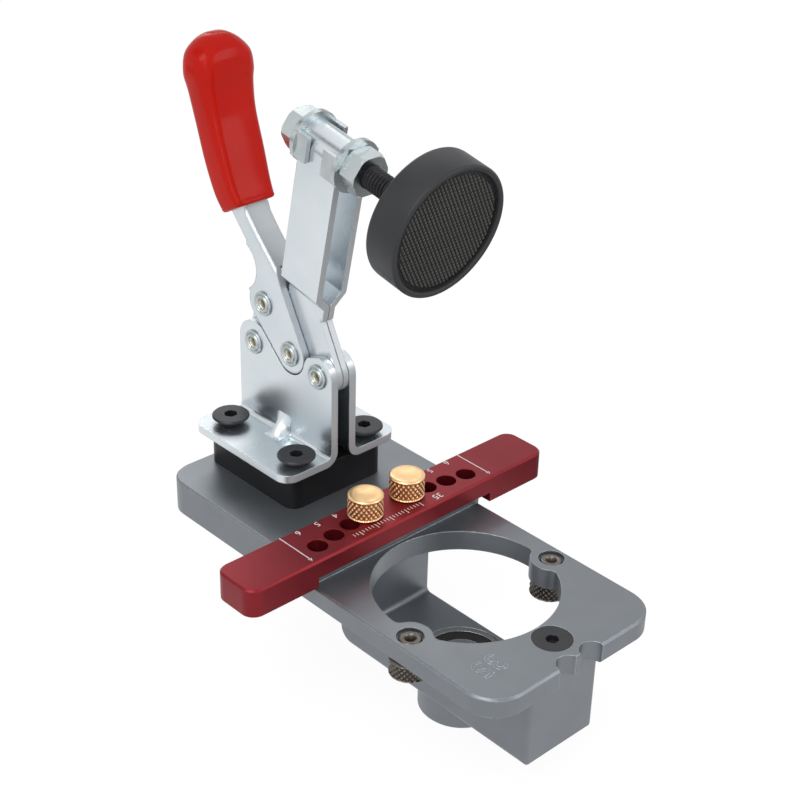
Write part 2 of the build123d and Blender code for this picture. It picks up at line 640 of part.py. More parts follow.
def web_sketch():
    """The strip of the side view that the channel's web fills."""
    pts = offset_pts(PIVOT_B, WEB_LINE)
    back = []
    for i, p in enumerate(pts):
        a = pts[max(i - 1, 0)]
        b = pts[min(i + 1, len(pts) - 1)]
        d = math.hypot(b[0] - a[0], b[1] - a[1])
        back.append((p[0] + WEB_T * (b[1] - a[1]) / d, p[1] - WEB_T * (b[0] - a[0]) / d))
    return shape(pts + back[::-1])


def handle_channel():
    """The steel channel: two plates on the pivots, joined by a web along the front."""
    view = handle_sketch()
    channel = side(view, STAND_IN, HANDLE_OUT) + side(view, -HANDLE_OUT, -STAND_IN)
    channel += side(web_sketch(), -HANDLE_OUT, HANDLE_OUT)
    fronts = [e for e in channel.edges() if abs(abs(e.center().X) - HANDLE_OUT) < 0.01 and on_front(e)]
    channel = fillet(fronts, 1.2)
    for pivot in (PIVOT_B, PIVOT_C):
        channel -= cross(pivot, -HANDLE_OUT - 2, HANDLE_OUT + 2, RIVET_R)
    return solid("handle_channel", channel)


def on_front(e):
    """True for an edge along the lower run of the handle's web."""
    a = offset_pts(PIVOT_B, WEB_LINE[:3])
    c = e.center()
    for p, q in zip(a, a[1:]):
        if math.hypot(c.Y - (p[0] + q[0]) / 2, c.Z - (p[1] + q[1]) / 2) < 0.3:
            return True
    return False


def handle_grip():
    """The soft dipped grip, lofted through its sections."""
    rows = [
        (10.0, 22.9, 60.0, 8.4, 12.4, 1.8),
        (12.5, 27.0, 62.0, 8.6, 13.6, 2.0),
        (15.4, 34.5, 67.0, 9.0, 14.4, 2.2),
        (18.6, 44.1, 71.0, 9.0, 15.0, 2.6),
        (20.2, 51.1, 78.0, 9.6, 16.4, 3.2),
        (20.9, 55.1, 84.0, 10.8, 17.8, 4.0),
        (21.2, 59.4, 90.0, 10.4, 16.8, 4.2),
        (21.4, 62.2, 92.0, 8.2, 12.4, 3.8),
        (21.5, 63.8, 92.0, 5.0, 7.2, 2.3),
        (21.5, 64.3, 92.0, 2.4, 3.6, 1.1),
    ]
    sections = []
    for y, z, lean, depth, width, r in smooth_rows(rows, 3):
        a = math.radians(lean)
        plane = Plane(origin=(0, PIVOT_B[0] + y, PIVOT_B[1] + z), x_dir=(1, 0, 0),
                      z_dir=(0, math.cos(a), math.sin(a)))
        sections.append(plane * RectangleRounded(width, depth, r))
    grip = loft(sections, ruled=True)
    pocket = side(handle_sketch() + web_sketch(), -HANDLE_OUT, HANDLE_OUT)
    return solid("handle_grip", grip - pocket)


def smooth_rows(rows, steps):
    """Rows filled in along a smooth curve through the given ones."""
    out = []
    for i in range(len(rows) - 1):
        p = [rows[max(i - 1, 0)], rows[i], rows[i + 1], rows[min(i + 2, len(rows) - 1)]]
        count = steps if i < 6 else 2
        for k in range(count):
            t = k / count
            out.append(tuple(curve(p[0][j], p[1][j], p[2][j], p[3][j], t) for j in range(6)))
    return out + [rows[-1]]


def curve(a, b, c, d, t):
    """A smooth value between b and c."""
    m0 = (c - a) / 2
    m1 = (d - b) / 2
    h = (2 * b - 2 * c + m0 + m1) * t ** 3 + (3 * c - 3 * b - 2 * m0 - m1) * t ** 2
    return h + m0 * t + b


def toggle_link():
    """The link between the stand and the handle, with an open side at its upper eye."""
    view = hull((PIVOT_A, LINK_EYE_A), (PIVOT_B, LINK_EYE_B))
    r = RIVET_R + 0.12
    slot = hull((PIVOT_B, r), (offset_pts(PIVOT_B, [(1.3, 0.42)])[0], r), (offset_pts(PIVOT_B, [(2.6, 0.68)])[0], r),
                (offset_pts(PIVOT_B, [(12.0, 0.7)])[0], r), (offset_pts(PIVOT_B, [(12.0, -0.6)])[0], r),
                (offset_pts(PIVOT_B, [(2.4, -0.55)])[0], r))
    view = view - slot
    link = side(view, -LINK_HALF, LINK_HALF)
    link -= cross(PIVOT_A, -5, 5, RIVET_R + RUN_GAP)
    return solid("toggle_link", link)


def build():
    """Every part, by name."""
    parts = {}

    def keep(part):
        parts[part.label] = part

    keep(base_plate())
    keep(guide_bracket())
    keep(bracket_screw("bracket_screw_front", SCREW_Y, 0, SCREW_HEAD_R, SCREW_R, SCREW_L, 3.0))
    keep(bracket_screw("bracket_screw_rear", REAR_SCREW_Y, REAR_RISE, REAR_HEAD_R, REAR_SCREW_R,
                       SCREW_L + REAR_RISE, 2.5))
    outer, inner, balls, cage, seals = bearing()
    for part in (outer, inner, cage, seals[0], seals[1]):
        keep(part)
    ring = Compound(children=balls)
    ring.label = "bearing_balls"
    parts["bearing_balls"] = ring
    keep(spacer_block())
    keep(clamp_base("clamp_base_left", -1))
    keep(clamp_base("clamp_base_right", 1))
    spots = ((-1, CLAMP_SCREW_Y1), (1, CLAMP_SCREW_Y1), (-1, CLAMP_SCREW_Y2), (1, CLAMP_SCREW_Y2))
    for i, (s, y) in enumerate(spots):
        keep(clamp_screw("clamp_screw_" + str(i + 1), s * CLAMP_SCREW_X, y))
    keep(rivet("rivet_base_rear", PIVOT_A, STAND_OUT))
    keep(rivet("rivet_base_front", PIVOT_D, STAND_OUT))
    keep(rivet("rivet_handle_link", PIVOT_B, HANDLE_OUT))
    keep(rivet("rivet_handle_arm", PIVOT_C, HANDLE_OUT))
    keep(fence_block())
    for name, s in (("left", -1), ("right", 1)):
        keep(thumb_screw("thumb_screw_" + name, s))
        keep(guide_bush("guide_bush_" + name, s))
    keep(clamp_arm())
    for name, s in (("front", -1), ("rear", 1)):
        keep(flange_washer("flange_washer_" + name, s))
        keep(spindle_nut("spindle_nut_" + name, s))
    keep(spindle_rod())
    keep(pad_housing())
    keep(pad_face())
    keep(handle_channel())
    keep(handle_grip())
    keep(toggle_link())
    return parts


os.makedirs("parts", exist_ok=True)
for part_name, part in build().items():
    export_step(part, "parts/" + part_name + ".step")
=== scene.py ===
"""Looks of a hinge drilling jig: finishes, turned and dipped pieces, white marks, light and camera."""

from __future__ import annotations

import logging
import math
from dataclasses import dataclass, field, replace
from enum import Enum
from typing import Callable, Sequence

import bmesh
import bpy
from mathutils import Matrix, Vector

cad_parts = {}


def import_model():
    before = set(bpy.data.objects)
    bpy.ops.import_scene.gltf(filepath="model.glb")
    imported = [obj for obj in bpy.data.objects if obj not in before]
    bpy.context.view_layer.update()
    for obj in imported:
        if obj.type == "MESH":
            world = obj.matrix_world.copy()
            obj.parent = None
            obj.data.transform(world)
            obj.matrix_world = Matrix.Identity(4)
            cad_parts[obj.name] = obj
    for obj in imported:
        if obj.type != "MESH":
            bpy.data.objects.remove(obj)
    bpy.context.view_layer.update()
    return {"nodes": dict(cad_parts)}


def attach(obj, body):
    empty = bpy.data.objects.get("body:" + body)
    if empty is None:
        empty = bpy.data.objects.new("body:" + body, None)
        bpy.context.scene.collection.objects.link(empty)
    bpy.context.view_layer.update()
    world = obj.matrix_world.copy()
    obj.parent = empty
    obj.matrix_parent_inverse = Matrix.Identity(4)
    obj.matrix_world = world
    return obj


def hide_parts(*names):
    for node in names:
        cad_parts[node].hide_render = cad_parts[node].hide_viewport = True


LOG = logging.getLogger("hinge_jig")
MM = 0.001
FULL_TURN = 2 * math.pi
UP = Vector((0, 0, 1))
ACROSS = Vector((1, 0, 0))
KNURLED_SIDES = 168
BAND_STEP = 0.13
TINY = 1e-6
SOCKET_KINDS = {1: "NodeSocketFloat", 3: "NodeSocketVector", 4: "NodeSocketColor"}

Colour = tuple[float, float, float]
Corner = tuple[float, float]
Ring = tuple[float, float, float]
Relief = Callable[[float, float], float]
Points = list[bmesh.types.BMVert]
Sockets = dict[str | int, object]


class Body(Enum):
    """The moving bodies that pieces made here ride on."""

    BASE = "base"
    HANDLE = "handle"
    SPINDLE = "spindle"
    THUMB_LEFT = "thumb_screw_l"
    THUMB_RIGHT = "thumb_screw_r"
    BUSH_LEFT = "bush_l"
    BUSH_RIGHT = "bush_r"


class Slot(Enum):
    """The material slots named beside the pieces made here; nothing here reads them."""

    GREY = "grey_anodised"
    RED = "red_anodised"
    BRASS = "brass"
    ZINC = "zinc_steel"
    BLACK_STEEL = "black_steel"
    RED_GRIP = "red_grip"
    PAD = "pad_black"
    RUBBER = "rubber_face"
    BUSH = "bush_steel"


class Side(Enum):
    """The two sides of the jig, with the sign of X on each."""

    LEFT = -1
    RIGHT = 1


class Lay(Enum):
    """How fine lines run over a metal surface, as the grain's scale along each axis."""

    EVEN = (1.0, 1.0, 1.0)
    ALONG_Z = (1.0, 1.0, 0.06)


@dataclass
class NodeBoard:
    """A node tree with short ways to add and join nodes.

    Attributes:
        tree: The tree of a material, a world or a shader group.
    """

    tree: bpy.types.NodeTree

    @classmethod
    def of(cls, holder: bpy.types.Material | bpy.types.World) -> NodeBoard:
        """Gives a material's or a world's own tree, emptied.

        Args:
            holder: The material or the world.

        Returns:
            The board.
        """
        holder.use_nodes = True
        holder.node_tree.nodes.clear()
        return cls(holder.node_tree)

    def add(self, kind: str, sockets: Sockets | None = None, **settings: object) -> bpy.types.Node:
        """Adds one node.

        Args:
            kind: The node's type name.
            sockets: Values or output sockets for its inputs, by name or index.
            settings: Values for its own settings.

        Returns:
            The new node.
        """
        node = self.tree.nodes.new(kind)
        for name, value in settings.items():
            setattr(node, name, value)
        for key, value in (sockets or {}).items():
            if isinstance(value, bpy.types.NodeSocket):
                self.tree.links.new(value, node.inputs[key])
            else:
                node.inputs[key].default_value = value
        return node

    def effect(self, group: bpy.types.NodeTree, sockets: Sockets) -> bpy.types.Node:
        """Places a shared shader group.

        Args:
            group: The group's tree.
            sockets: Values or sockets for its named inputs.

        Returns:
            The group node.
        """
        return self.add("ShaderNodeGroup", sockets, node_tree=group)

    def math(self, operation: str, a: object, b: object = 0.0, clamp: bool = False) -> bpy.types.NodeSocket:
        """Adds a Math node.

        Args:
            operation: The name of the operation.
            a: The first value or socket.
            b: The second value or socket.
            clamp: Whether the result is held between 0 and 1.

        Returns:
            The result socket.
        """
        return self.add("ShaderNodeMath", {0: a, 1: b}, operation=operation, use_clamp=clamp).outputs[0]

    def blend(self, share: object, a: object, b: object) -> bpy.types.NodeSocket:
        """Mixes two colours.

        Args:
            share: How much of b shows.
            a: The first colour or socket.
            b: The second colour or socket.

        Returns:
            The colour socket.
        """
        return self.add("ShaderNodeMix", {0: share, 6: a, 7: b}, data_type="RGBA").outputs[2]

    def span(
        self, value: object, low: object, high: object, out_low: float = 0.0, out_high: float = 1.0
    ) -> bpy.types.NodeSocket:
        """Maps a value from one range to another, softly and held at its ends.

        Args:
            value: The value socket.
            low: The value that gives out_low.
            high: The value that gives out_high.
            out_low: The low result.
            out_high: The high result.

        Returns:
            The result socket.
        """
        sockets = {0: value, 1: low, 2: high, 3: out_low, 4: out_high}
        return self.add("ShaderNodeMapRange", sockets, interpolation_type="SMOOTHSTEP").outputs[0]

    def spot(self) -> bpy.types.NodeSocket:
        """Gives each point's place in the piece's own space."""
        return self.add("ShaderNodeTexCoord").outputs["Object"]

    def noise(self, sockets: Sockets, **settings: object) -> bpy.types.NodeSocket:
        """Adds a noise that lies in the piece's own space unless its W or its Vector is given.

        Args:
            sockets: Values or sockets for its inputs.
            settings: Values for its own settings.

        Returns:
            The noise's socket.
        """
        where = {} if {"W", "Vector"} & sockets.keys() else {"Vector": self.spot()}
        return self.add("ShaderNodeTexNoise", where | sockets, **settings).outputs[0]

    def axes(self) -> tuple[bpy.types.NodeSocket, ...]:
        """Gives each point's X, Y and Z in the piece's own space."""
        return tuple(self.add("ShaderNodeSeparateXYZ", {0: self.spot()}).outputs)

    def turned_place(self) -> tuple[bpy.types.NodeSocket, bpy.types.NodeSocket]:
        """Gives each point's place on a turned piece.

        Returns:
            Its distance from the piece's own Z axis, and its height along it.
        """
        x, y, z = self.axes()
        across = self.math("ADD", self.math("POWER", x, 2.0), self.math("POWER", y, 2.0))
        return self.math("SQRT", across), z


def rgba(colour: Colour) -> tuple[float, float, float, float]:
    """Gives a colour its full alpha."""
    return (*colour, 1.0)


class Effect:
    """A surface effect that several finishes share, built as a shader group.

    Attributes:
        name: The group's name.
        inputs: The first value of each input, by name.
        outputs: The socket kind of each output, by name.
    """

    name: str
    inputs: dict[str, float | tuple[float, ...]]
    outputs: dict[str, str]

    def fill(self, board: NodeBoard, entry: Sockets) -> Sockets:
        """Makes the output sockets, by name, from the input sockets."""
        raise NotImplementedError

    def build(self) -> bpy.types.NodeTree:
        """Builds the group with its named sockets.

        Returns:
            The group's tree.
        """
        tree = bpy.data.node_groups.new(self.name, "ShaderNodeTree")
        for label, value in self.inputs.items():
            kind = SOCKET_KINDS[len(value) if isinstance(value, tuple) else 1]
            socket = tree.interface.new_socket(name=label, in_out="INPUT", socket_type=kind)
            socket.default_value = value
        for label, kind in self.outputs.items():
            tree.interface.new_socket(name=label, in_out="OUTPUT", socket_type=kind)
        board = NodeBoard(tree)
        entry = board.add("NodeGroupInput").outputs
        board.add("NodeGroupOutput", self.fill(board, {label: entry[label] for label in self.inputs}))
        return tree


class EdgeWearAndLight(Effect):
    """Softened edges, and the mask of the edges that take a finish's edge colour: where a hand or a box has
    rubbed them, and where some finishes paint light along them.

    Attributes:
        bent: How far the two normals part where the edge mask starts, and where it is full.
        patchy: The noise at which a patch starts, and where it is full.
        least: How much of the edge mask shows between the patches.
    """

    name = "edge_wear"
    inputs = {"Radius": 0.0003, "Amount": 0.5, "Breakup": 900.0}
    outputs = {"Mask": "NodeSocketFloat", "Normal": "NodeSocketVector"}
    bent: tuple[float, float] = (0.01, 0.16)
    patchy: tuple[float, float] = (0.35, 0.65)
    least: float = 0.35

    def fill(self, board: NodeBoard, entry: Sockets) -> Sockets:
        """Compares the softened normal with the flat one, in broken patches.

        Args:
            board: The group's board.
            entry: The group's input sockets.

        Returns:
            The output sockets.
        """
        soft = board.add("ShaderNodeBevel", {"Radius": entry["Radius"]}, samples=4).outputs[0]
        flat = board.add("ShaderNodeNewGeometry").outputs["Normal"]
        agree = board.add("ShaderNodeVectorMath", {0: soft, 1: flat}, operation="DOT_PRODUCT")
        edge_bend = board.span(board.math("SUBTRACT", 1.0, agree.outputs["Value"]), *self.bent)
        patch = board.span(board.noise({"Scale": entry["Breakup"], "Detail": 3.0}), *self.patchy, self.least)
        mask = board.math("MULTIPLY", board.math("MULTIPLY", edge_bend, patch), entry["Amount"], True)
        return {"Mask": mask, "Normal": soft}


class FineGrain(Effect):
    """A fine grain that may be drawn out along one axis."""

    name = "fine_grain"
    inputs = {"Scale": 4000.0, "Lay": (1.0, 1.0, 1.0), "Detail": 2.0}
    outputs = {"Height": "NodeSocketFloat"}

    def fill(self, board: NodeBoard, entry: Sockets) -> Sockets:
        """Draws the noise's space out along the lay.

        Args:
            board: The group's board.
            entry: The group's input sockets.

        Returns:
            The output sockets.
        """
        weights = {0: board.spot(), 1: entry["Lay"]}
        drawn = board.add("ShaderNodeVectorMath", weights, operation="MULTIPLY").outputs[0]
        return {"Height": board.noise({"Vector": drawn, "Scale": entry["Scale"], "Detail": entry["Detail"]})}


class SoftSmudge(Effect):
    """Large soft patches, as handling leaves on metal."""

    name = "soft_smudge"
    inputs = {"Scale": 60.0, "Low": 0.25, "High": 0.75}
    outputs = {"Mask": "NodeSocketFloat"}

    def fill(self, board: NodeBoard, entry: Sockets) -> Sockets:
        """Cuts a wandering noise between its low and its high value."""
        noise = board.noise({"Scale": entry["Scale"], "Detail": 2.0, "Distortion": 0.2})
        return {"Mask": board.span(noise, entry["Low"], entry["High"])}


class ColourDrift(Effect):
    """A slow drift from one colour towards another.

    Attributes:
        soft: The noise at which the second colour starts, and where it is full.
    """

    name = "colour_drift"
    inputs = {"First": (0.5, 0.5, 0.5, 1.0), "Second": (0.4, 0.4, 0.4, 1.0), "Scale": 90.0}
    outputs = {"Colour": "NodeSocketColor"}
    soft: tuple[float, float] = (0.2, 0.8)

    def fill(self, board: NodeBoard, entry: Sockets) -> Sockets:
        """Mixes the two colours by a soft noise."""
        share = board.span(board.noise({"Scale": entry["Scale"], "Detail": 3.0}), *self.soft)
        return {"Colour": board.blend(share, entry["First"], entry["Second"])}


class TurnedRings(Effect):
    """The fine rings that a lathe tool leaves round a piece's own Z axis."""

    name = "turned_rings"
    inputs = {"Pitch": 0.00025, "Wander": 0.6}
    outputs = {"Height": "NodeSocketFloat"}

    def fill(self, board: NodeBoard, entry: Sockets) -> Sockets:
        """Runs a noise of one dimension outwards and along the axis.

        Args:
            board: The group's board.
            entry: The group's input sockets.

        Returns:
            The output sockets.
        """
        reach, height = board.turned_place()
        turns = board.math("DIVIDE", board.math("ADD", reach, height), entry["Pitch"])
        noise = board.noise({"W": turns, "Scale": 1.0, "Detail": 2.0}, noise_dimensions="1D")
        return {"Height": board.math("MULTIPLY", noise, entry["Wander"])}


@dataclass
class EffectShelf:
    """The effects' groups, each built on its first use.

    Attributes:
        made: The groups built so far, by name.
    """

    made: dict[str, bpy.types.NodeTree] = field(default_factory=dict)

    def group(self, effect: Effect) -> bpy.types.NodeTree:
        """Gives an effect's group.

        Args:
            effect: The effect.

        Returns:
            The group's tree.
        """
        if effect.name not in self.made:
            self.made[effect.name] = effect.build()
        return self.made[effect.name]


@dataclass(frozen=True)
class Finish:
    """A surface finish: its colours, gloss, grain, and an edge colour of wear, with a painted highlight on
    the grey plate and painted shade on the zinc sheet.

    Attributes:
        name: The finish in a maker's words.
        colour: The main colour, linear.
        second: The colour that the main one drifts towards.
        worn_and_edge_light: The colour on the edges: rubbed metal, which on the grey plate is also a painted
            highlight and on the zinc sheet also painted shade.
        metallic: 1 for bare metal, 0 for plastic and rubber.
        rough: The lowest and the highest roughness.
        edge_mm: The radius by which sharp edges are softened.
        wear_and_light: How strongly the edge colour shows, rubbing and painted light alike.
        grain_mm: The size of the grain.
        grain_depth_mm: The depth of the grain.
        lay: How the grain runs.
        drift_mm: The size of the colour's patches.
        smudge_mm: The size of the smudges.
        specular: The specular level.
    """

    name: str
    colour: Colour
    second: Colour
    worn_and_edge_light: Colour
    metallic: float = 1.0
    rough: tuple[float, float] = (0.3, 0.4)
    edge_mm: float = 0.25
    wear_and_light: float = 0.4
    grain_mm: float = 0.25
    grain_depth_mm: float = 0.004
    lay: Lay = Lay.EVEN
    drift_mm: float = 12.0
    smudge_mm: float = 14.0
    specular: float = 0.5

    def height(self, board: NodeBoard, shelf: EffectShelf) -> bpy.types.NodeSocket:
        """Gives the grain's height, which the bump reads."""
        sockets = {"Scale": 1 / (self.grain_mm * MM), "Lay": self.lay.value}
        return board.effect(shelf.group(FineGrain()), sockets).outputs["Height"]

    def base(self, board: NodeBoard, drift: object, wear_and_light: object) -> bpy.types.NodeSocket:
        """Gives the base colour from the drifting colour and the edge mask: wear, plus painted light on the
        grey plate and the zinc sheet.
        """
        return board.blend(wear_and_light, drift, rgba(self.worn_and_edge_light))

    def roughness(self, board: NodeBoard, smudge: object) -> bpy.types.NodeSocket:
        """Gives the roughness from the mask of the smudges."""
        return board.span(smudge, 0.0, 1.0, *self.rough)

    def metal(self, board: NodeBoard) -> float | bpy.types.NodeSocket:
        """Gives how metallic the surface is."""
        return self.metallic

    def build(self, shelf: EffectShelf) -> bpy.types.Material:
        """Builds the finish as a material.

        Args:
            shelf: The shared effects.

        Returns:
            The material.
        """
        material = bpy.data.materials.new(self.name)
        board = NodeBoard.of(material)
        edges = {"Radius": self.edge_mm * MM, "Amount": self.wear_and_light}
        wear_and_light = board.effect(shelf.group(EdgeWearAndLight()), edges).outputs
        colours = {"First": rgba(self.colour), "Second": rgba(self.second), "Scale": 1 / (self.drift_mm * MM)}
        drift = board.effect(shelf.group(ColourDrift()), colours).outputs
        smudge = board.effect(shelf.group(SoftSmudge()), {"Scale": 1 / (self.smudge_mm * MM)}).outputs
        bump = board.add(
            "ShaderNodeBump",
            {
                "Strength": 1.0,
                "Distance": self.grain_depth_mm * MM,
                "Height": self.height(board, shelf),
                "Normal": wear_and_light["Normal"],
            },
        )
        shader = board.add(
            "ShaderNodeBsdfPrincipled",
            {
                "Base Color": self.base(board, drift["Colour"], wear_and_light["Mask"]),
                "Metallic": self.metal(board),
                "Roughness": self.roughness(board, smudge["Mask"]),
                "Specular IOR Level": self.specular,
                "Normal": bump.outputs[0],
            },
        )
        board.add("ShaderNodeOutputMaterial", {"Surface": shader.outputs[0]})
        return material


@dataclass(frozen=True)
class TurnedFinish(Finish):
    """A lathe-turned surface, whose fine rings run round the piece's own axis.

    Attributes:
        ring_mm: The pitch of the rings.
    """

    ring_mm: float = 0.25

    def height(self, board: NodeBoard, shelf: EffectShelf) -> bpy.types.NodeSocket:
        """Gives the rings' height in place of the grain's."""
        sockets = {"Pitch": self.ring_mm * MM}
        return board.effect(shelf.group(TurnedRings()), sockets).outputs["Height"]


@dataclass(frozen=True)
class SheetFinish(Finish):
    """A plated sheet steel whose cut edges are duller and darker than its rolled faces; the darker colour
    also falls on rolled webs and bends that look the same way, as painted shade.

    Attributes:
        punched_and_shade: The darker colour: cut edges, and painted shade on the rolled faces that look the
            same way.
        punched_rough: Its roughness.
        punched_metal: How metallic it is.
        edge_and_shade_share: How much each axis of a face's normal counts towards it taking the darker
            colour, as a cut edge and as painted shade.
        edge_and_shade_from: The share at which a face starts to take it.
    """

    # The darker colour stands for duller cut edges, and for painted shade on rolled faces that look along the
    # same axes.
    punched_and_shade: Colour = (0.42, 0.45, 0.47)
    punched_rough: float = 0.42
    punched_metal: float = 0.25
    edge_and_shade_share: tuple[float, float, float] = (0.0, 1.0, 1.0)
    edge_and_shade_from: float = 0.6

    def edge(self, board: NodeBoard) -> bpy.types.NodeSocket:
        """Finds the cut edges, and the rolled faces that take painted shade with them, by the direction that
        a face looks in.

        Args:
            board: The material's board.

        Returns:
            The mask of the cut edges and of the painted shade.
        """
        weights = {0: board.add("ShaderNodeTexCoord").outputs["Normal"], 1: self.edge_and_shade_share}
        part = board.add("ShaderNodeVectorMath", weights, operation="MULTIPLY")
        size = board.add("ShaderNodeVectorMath", {0: part.outputs[0]}, operation="LENGTH")
        return board.span(size.outputs["Value"], self.edge_and_shade_from, 1.0)

    def base(self, board: NodeBoard, drift: object, wear_and_light: object) -> bpy.types.NodeSocket:
        """Gives the cut edges their darker colour, and the rolled faces that look the same way their painted
        shade.
        """
        # Painted shade: the darker colour falls on all masked faces, cut edges and rolled webs alike.
        return board.blend(self.edge(board), super().base(board, drift, wear_and_light), rgba(self.punched_and_shade))

    def roughness(self, board: NodeBoard, smudge: object) -> bpy.types.NodeSocket:
        """Gives the cut edges, and the faces under the same mask, a duller face."""
        torn = board.math("MULTIPLY", self.edge(board), self.punched_rough)
        return board.math("MAXIMUM", super().roughness(board, smudge), torn)

    def metal(self, board: NodeBoard) -> bpy.types.NodeSocket:
        """Gives the cut edges, and the faces under the same mask, a less metallic face."""
        return board.span(self.edge(board), 0.0, 1.0, self.metallic, self.punched_metal)


@dataclass(frozen=True)
class KnurledFinish(TurnedFinish):
    """A turned metal whose knurl holds a darker colour in its valleys.

    Attributes:
        valley: The colour in the valleys.
        crest_mm: The radius of the crests.
        depth_mm: The depth of the valleys.
        slack_mm: How far inside the valleys the darker colour still reaches.
        top_mm: The height on the piece's own Z axis where the knurl ends.
    """

    valley: Colour = (0.45, 0.20, 0.10)
    crest_mm: float = 4.55
    depth_mm: float = 0.42
    slack_mm: float = 0.05
    top_mm: float = 14.6

    def base(self, board: NodeBoard, drift: object, wear_and_light: object) -> bpy.types.NodeSocket:
        """Darkens the colour, its edges included, where the surface lies under the crests.

        Args:
            board: The material's board.
            drift: The drifting colour.
            wear_and_light: The edge mask, which carries wear and, on some finishes, painted light.

        Returns:
            The colour socket.
        """
        reach, height = board.turned_place()
        low = (self.crest_mm - self.depth_mm) * MM
        deep = board.span(reach, low, self.crest_mm * MM, 1.0, 0.0)
        outer = board.math("GREATER_THAN", reach, low - self.slack_mm * MM)
        under = board.math("LESS_THAN", height, self.top_mm * MM)
        hidden = board.math("MULTIPLY", deep, board.math("MULTIPLY", outer, under))
        return board.blend(hidden, super().base(board, drift, wear_and_light), rgba(self.valley))


@dataclass(frozen=True)
class WaffleFinish(Finish):
    """A moulded rubber whose raised points are rubbed paler than the valleys.

    Attributes:
        low_mm: The height of the valleys on the piece's own Z axis.
        high_mm: The height of the points.
    """

    low_mm: float = 28.4
    high_mm: float = 28.7

    def base(self, board: NodeBoard, drift: object, wear_and_light: object) -> bpy.types.NodeSocket:
        """Gives the valleys the drifting colour and the points the rubbed one."""
        lift = board.span(board.axes()[2], self.low_mm * MM, self.high_mm * MM)
        return board.blend(lift, drift, rgba(self.worn_and_edge_light))


GREY_ANODISED = Finish(
    "grey_anodised_plate",
    colour=(0.190, 0.206, 0.224),
    second=(0.206, 0.222, 0.240),
    # The light edge colour is partly rubbed anodising and partly a painted highlight along the plate's edges
    # and hole rims.
    worn_and_edge_light=(0.60, 0.64, 0.68),
    metallic=0.75,
    rough=(0.36, 0.44),
    edge_mm=0.35,
    wear_and_light=0.75,
    grain_mm=0.18,
    grain_depth_mm=0.006,
)
RED_ANODISED = Finish(
    "red_anodised_bar",
    colour=(0.200, 0.009, 0.016),
    second=(0.225, 0.012, 0.019),
    worn_and_edge_light=(0.48, 0.06, 0.07),
    metallic=0.7,
    rough=(0.34, 0.42),
    edge_mm=0.3,
    wear_and_light=0.45,
    grain_mm=0.16,
    grain_depth_mm=0.005,
)
ZINC_LOOK: dict[str, object] = {
    "colour": (0.70, 0.745, 0.775),
    "second": (0.62, 0.675, 0.71),
    # The darker edge colour is partly duller cut steel and partly painted shade along the sheet's edges.
    "worn_and_edge_light": (0.46, 0.50, 0.53),
    "rough": (0.25, 0.33),
    "edge_mm": 0.3,
    "wear_and_light": 0.55,
    "grain_mm": 0.6,
    "grain_depth_mm": 0.003,
    "lay": Lay.ALONG_Z,
    "drift_mm": 16.0,
    "smudge_mm": 18.0,
}
ZINC_DIMPLE = Finish("bright_zinc_dimple", **ZINC_LOOK)
# The handle and the link darken every face that does not look along X: cut edges, and their rolled webs and
# bends as painted shade.
ZINC_PLATE = SheetFinish("bright_zinc_plate", **ZINC_LOOK)
ZINC_STAND = replace(ZINC_PLATE, name="bright_zinc_stand", edge_and_shade_share=(0.0, 1.0, 0.0))
ZINC_HANDLE = replace(ZINC_PLATE, name="bright_zinc_handle", edge_mm=0.75, punched_metal=0.6)
ZINC_FASTENER = Finish(
    "bright_zinc_fastener",
    colour=(0.54, 0.58, 0.59),
    second=(0.43, 0.475, 0.485),
    worn_and_edge_light=(0.40, 0.44, 0.46),
    rough=(0.24, 0.33),
    edge_mm=0.18,
    wear_and_light=0.45,
    grain_mm=0.3,
    grain_depth_mm=0.003,
    drift_mm=6.0,
    smudge_mm=8.0,
)
RIVET_LINER = Finish(
    "brassy_rivet_bore",
    colour=(0.80, 0.78, 0.67),
    second=(0.68, 0.64, 0.50),
    worn_and_edge_light=(0.75, 0.70, 0.55),
    rough=(0.34, 0.5),
    edge_mm=0.08,
    drift_mm=1.5,
)
BLACK_OXIDE = Finish(
    "black_oxide_steel",
    colour=(0.032, 0.033, 0.037),
    second=(0.040, 0.041, 0.045),
    worn_and_edge_light=(0.16, 0.16, 0.17),
    metallic=0.5,
    rough=(0.34, 0.46),
    edge_mm=0.2,
    wear_and_light=0.4,
    grain_mm=0.2,
    grain_depth_mm=0.006,
    drift_mm=3.0,
    smudge_mm=4.0,
    specular=0.35,
)
BLACK_ROD = replace(
    BLACK_OXIDE,
    name="black_oxide_rod",
    colour=(0.010, 0.0105, 0.012),
    second=(0.015, 0.0155, 0.017),
    metallic=0.3,
)
BLACK_BLOCK = Finish(
    "black_anodised_block",
    colour=(0.008, 0.0085, 0.010),
    second=(0.012, 0.0125, 0.014),
    worn_and_edge_light=(0.07, 0.07, 0.08),
    metallic=0.2,
    specular=0.35,
    rough=(0.36, 0.5),
    edge_mm=0.35,
    wear_and_light=0.4,
    grain_mm=0.3,
    grain_depth_mm=0.006,
)
BRASS = KnurledFinish(
    "turned_brass",
    colour=(0.88, 0.61, 0.33),
    second=(0.80, 0.53, 0.27),
    worn_and_edge_light=(0.96, 0.80, 0.56),
    rough=(0.30, 0.40),
    edge_mm=0.12,
    wear_and_light=0.5,
    grain_depth_mm=0.006,
    drift_mm=3.0,
    smudge_mm=3.0,
    ring_mm=0.22,
)
